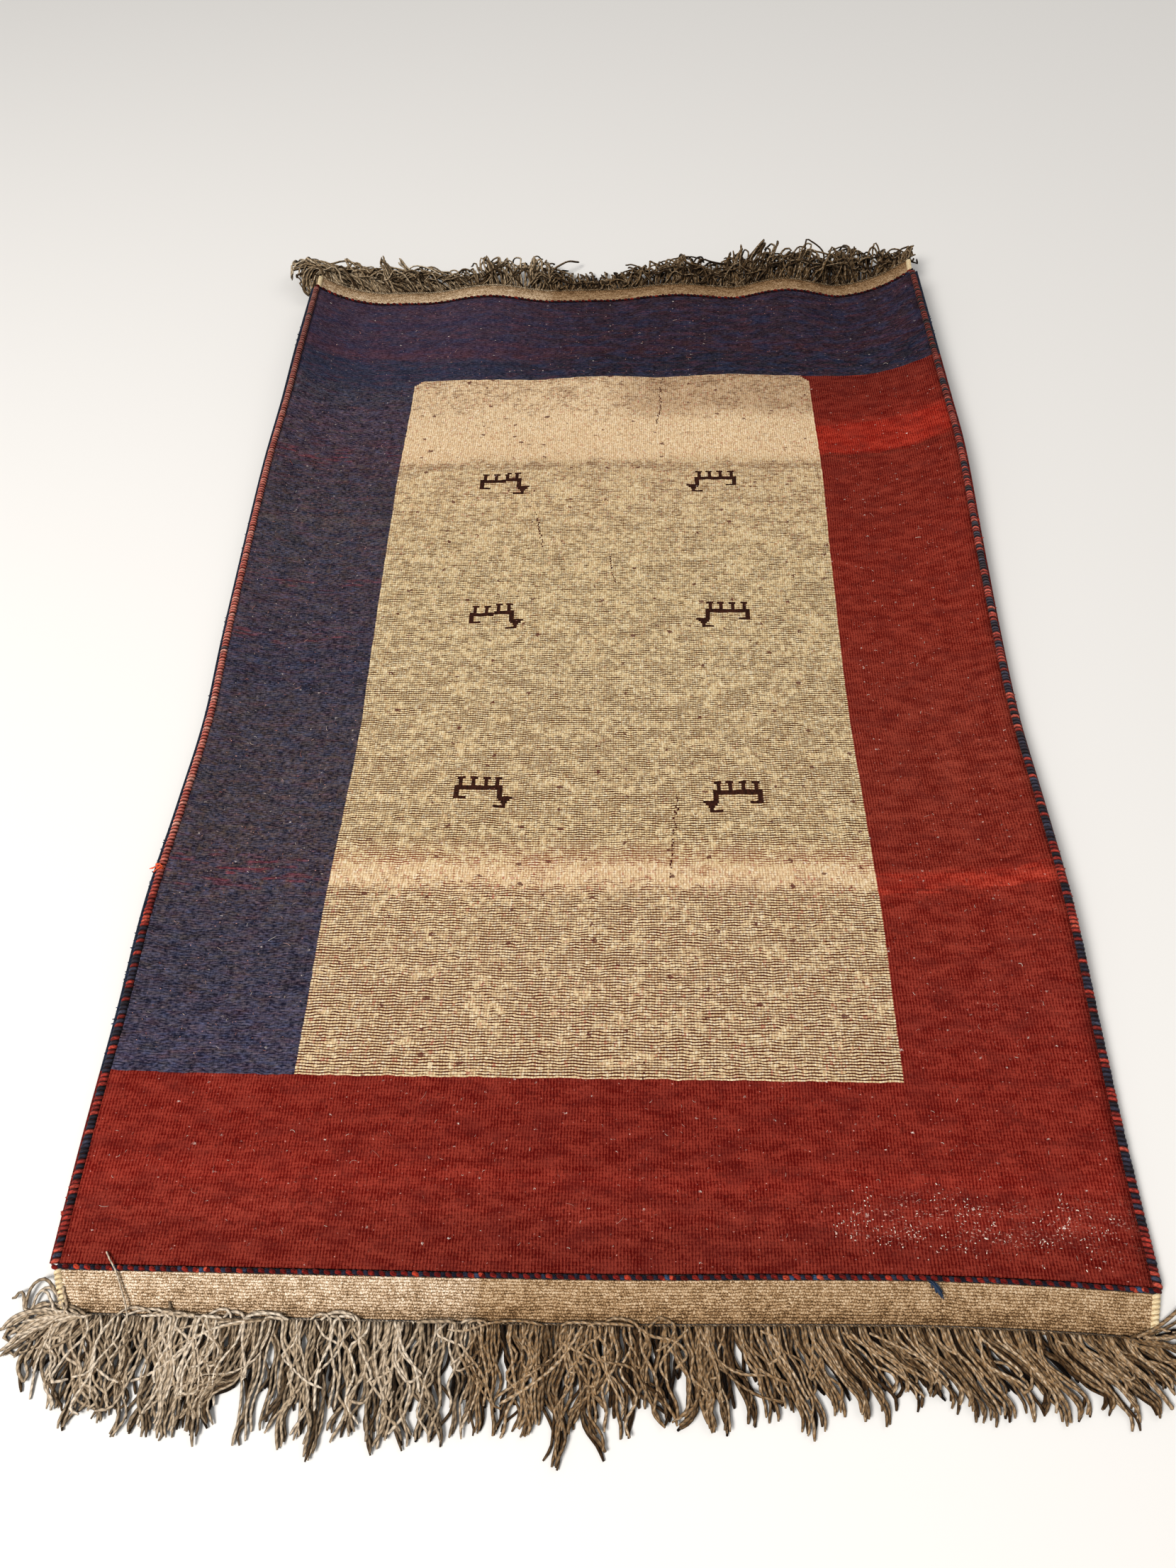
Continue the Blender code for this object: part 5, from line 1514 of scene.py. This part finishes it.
# Small things on the back: darned slits in the pale field, a stray thread over
# the near band, a tuft of blue wool at the near twined row, an orange one at the
# left cord, and loose hairs.
MENDS = (
    ((0.092, 0.650), (0.086, 0.600), (0.088, 0.570), (0.080, 0.520)),
    ((-0.127, 0.305), (-0.120, 0.270), (-0.118, 0.250), (-0.110, 0.215)),
    ((0.002, 0.190), (0.004, 0.165), (0.008, 0.135)),
    ((0.100, -0.270), (0.097, -0.320), (0.093, -0.350), (0.090, -0.400)),
    ((0.053, -0.653), (0.052, -0.672)),
)
STITCH_PITCH = 0.0046
chance = np.random.default_rng(5)
stitches = []
for mend in MENDS:
    length = sum(math.dist(a, b) for a, b in zip(mend, mend[1:]))
    for u, v in curve_through(mend, max(4, int(length / STITCH_PITCH))):
        if chance.uniform() < 0.80:
            u += chance.normal(0, 0.0011)
            half = chance.uniform(0.0009, 0.0022)
            slope = chance.normal(0, 0.35)
            ends = np.linspace(-1, 1, 4)
            stitches.append(np.stack([
                u + half * slope * ends, v + half * ends, THICKNESS + 0.0002 + 0.0003 * (1 - ends ** 2),
            ], axis=1))
wide = np.full((len(stitches), 4), 0.0009) * chance.uniform(0.7, 1.3, (len(stitches), 1))
mesh = spin_yarns("darning_stitches", lay(np.array(stitches)), wide, wide * 0.6, 5)
darning, tree, shader = new_material("dark_madder_darning_thread", roughness=0.95)
shader.inputs["Base Color"].default_value = hex_colour("#4a1d18")
show("darning_stitches", mesh, (darning,), "ground_wool")

thread = curve_through((
    (-0.504, -0.946, 0.006), (-0.510, -0.930, 0.009), (-0.518, -0.915, 0.0105), (-0.525, -0.902, 0.0118),
    (-0.531, -0.893, 0.0130), (-0.538, -0.885, 0.0130), (-0.5445, -0.877, 0.0112),
), 26)[None]
wide = np.full((1, 26), 0.0010)
mesh = spin_yarns("stray_thread", thread, wide, wide, 6, tones=np.array([0.9]))
show("stray_thread", mesh, (fringe_wool["near"],), "fringe_wool")

for colour_name, colour, root, aim, stray, count in (
    ("blue", "#2e3c52", (0.3600, -0.8895, 0.0105), (0.0080, -0.0135, 0.0004), 0.0016, 14),
    ("orange", "#e4603c", (-0.5945, -0.4040, 0.0098), (-0.0064, -0.0010, 0.0010), 0.0032, 16),
):
    tuft = []
    for _ in range(count):
        start = np.array(root) + chance.normal(0, 0.0010, 3)
        end = start + np.array(aim) * chance.uniform(0.6, 1.15) + chance.normal(0, stray, 3)
        tuft.append(curve_through((start, (start + end) / 2 + (0, stray, 0.0022), end), 6))
    tuft = np.array(tuft)
    if colour_name == "orange":
        tuft = lay(tuft)
    wide = np.full((count, 6), 0.0007)
    mesh = spin_yarns(colour_name + "_tuft", tuft, wide, wide, 5)
    loose_pile, tree, shader = new_material("loose_" + colour_name + "_pile_wool", roughness=0.95)
    shader.inputs["Base Color"].default_value = hex_colour(colour)
    show(colour_name + "_tuft", mesh, (loose_pile,), "ground_wool")

# Loose hairs all over the borders, then short thick flecks on the worn patch
HAIRS = 700
WORN_FLECKS = 240
WORN_CLUSTERS = 60
clusters = np.stack([
    chance.uniform(0.25, 0.57, WORN_CLUSTERS), chance.normal(-0.834, 0.016, WORN_CLUSTERS),
], axis=1)
hairs = []
for number in range(HAIRS + WORN_FLECKS):
    side = chance.uniform()
    if number >= HAIRS:
        u, v = clusters[int(side * WORN_CLUSTERS)] + chance.normal(0, 0.006, 2)
    elif side < 0.34:
        u, v = chance.uniform(-0.57, -0.39), chance.uniform(-0.66, 0.62)
    elif side < 0.66:
        u, v = chance.uniform(0.38, 0.57), chance.uniform(-0.66, 0.62)
    elif side < 0.90:
        u, v = chance.uniform(-0.57, 0.57), chance.uniform(-0.87, -0.69)
    else:
        u, v = chance.uniform(-0.55, 0.55), chance.uniform(0.66, 0.86)
    turn, curl = chance.uniform(0, 2 * np.pi), chance.normal(0, 1.6)
    length = chance.uniform(0.002, 0.005) if chance.uniform() < 0.9 else chance.uniform(0.005, 0.012)
    if number >= HAIRS:
        length = 0.0006 + 0.0026 * chance.uniform() ** 2
    way = np.linspace(0, 1, 6)
    heading_angle = turn + curl * way
    step = length / 5
    line = np.stack([
        u + np.concatenate([[0], np.cumsum(np.cos(heading_angle[:-1]) * step)]),
        v + np.concatenate([[0], np.cumsum(np.sin(heading_angle[:-1]) * step)]),
        THICKNESS + 0.0003 + 0.0009 * np.sin(np.pi * way) * chance.uniform(0.3, 1.0),
    ], axis=1)
    hairs.append(line)
wide = np.full((len(hairs), 6), 0.00020) * chance.uniform(0.7, 1.4, (len(hairs), 1))
wide[HAIRS:] *= chance.uniform(2.0, 3.6, (WORN_FLECKS, 1))
tones = chance.uniform(0, 1, len(hairs))
tones[HAIRS:] = 0.55 + 0.45 * tones[HAIRS:]
mesh = spin_yarns("loose_hairs", lay(np.array(hairs)), wide, wide, 3, tones=tones)
fluff, tree, shader = new_material("loose_undyed_hairs", roughness=0.8)
tone = add("Attribute", attribute_name="tone").outputs["Fac"]
colour = add("ValToRGB", (tone,), ((0.0, "#b8685a"), (0.5, "#d8a094"), (0.8, "#ecd4c4"), (1.0, "#fff4e6")))
tree.links.new(colour.outputs[0], shader.inputs["Base Color"])
show("loose_hairs", mesh, (fluff,), "ground_wool")


for end in ("near", "far"):
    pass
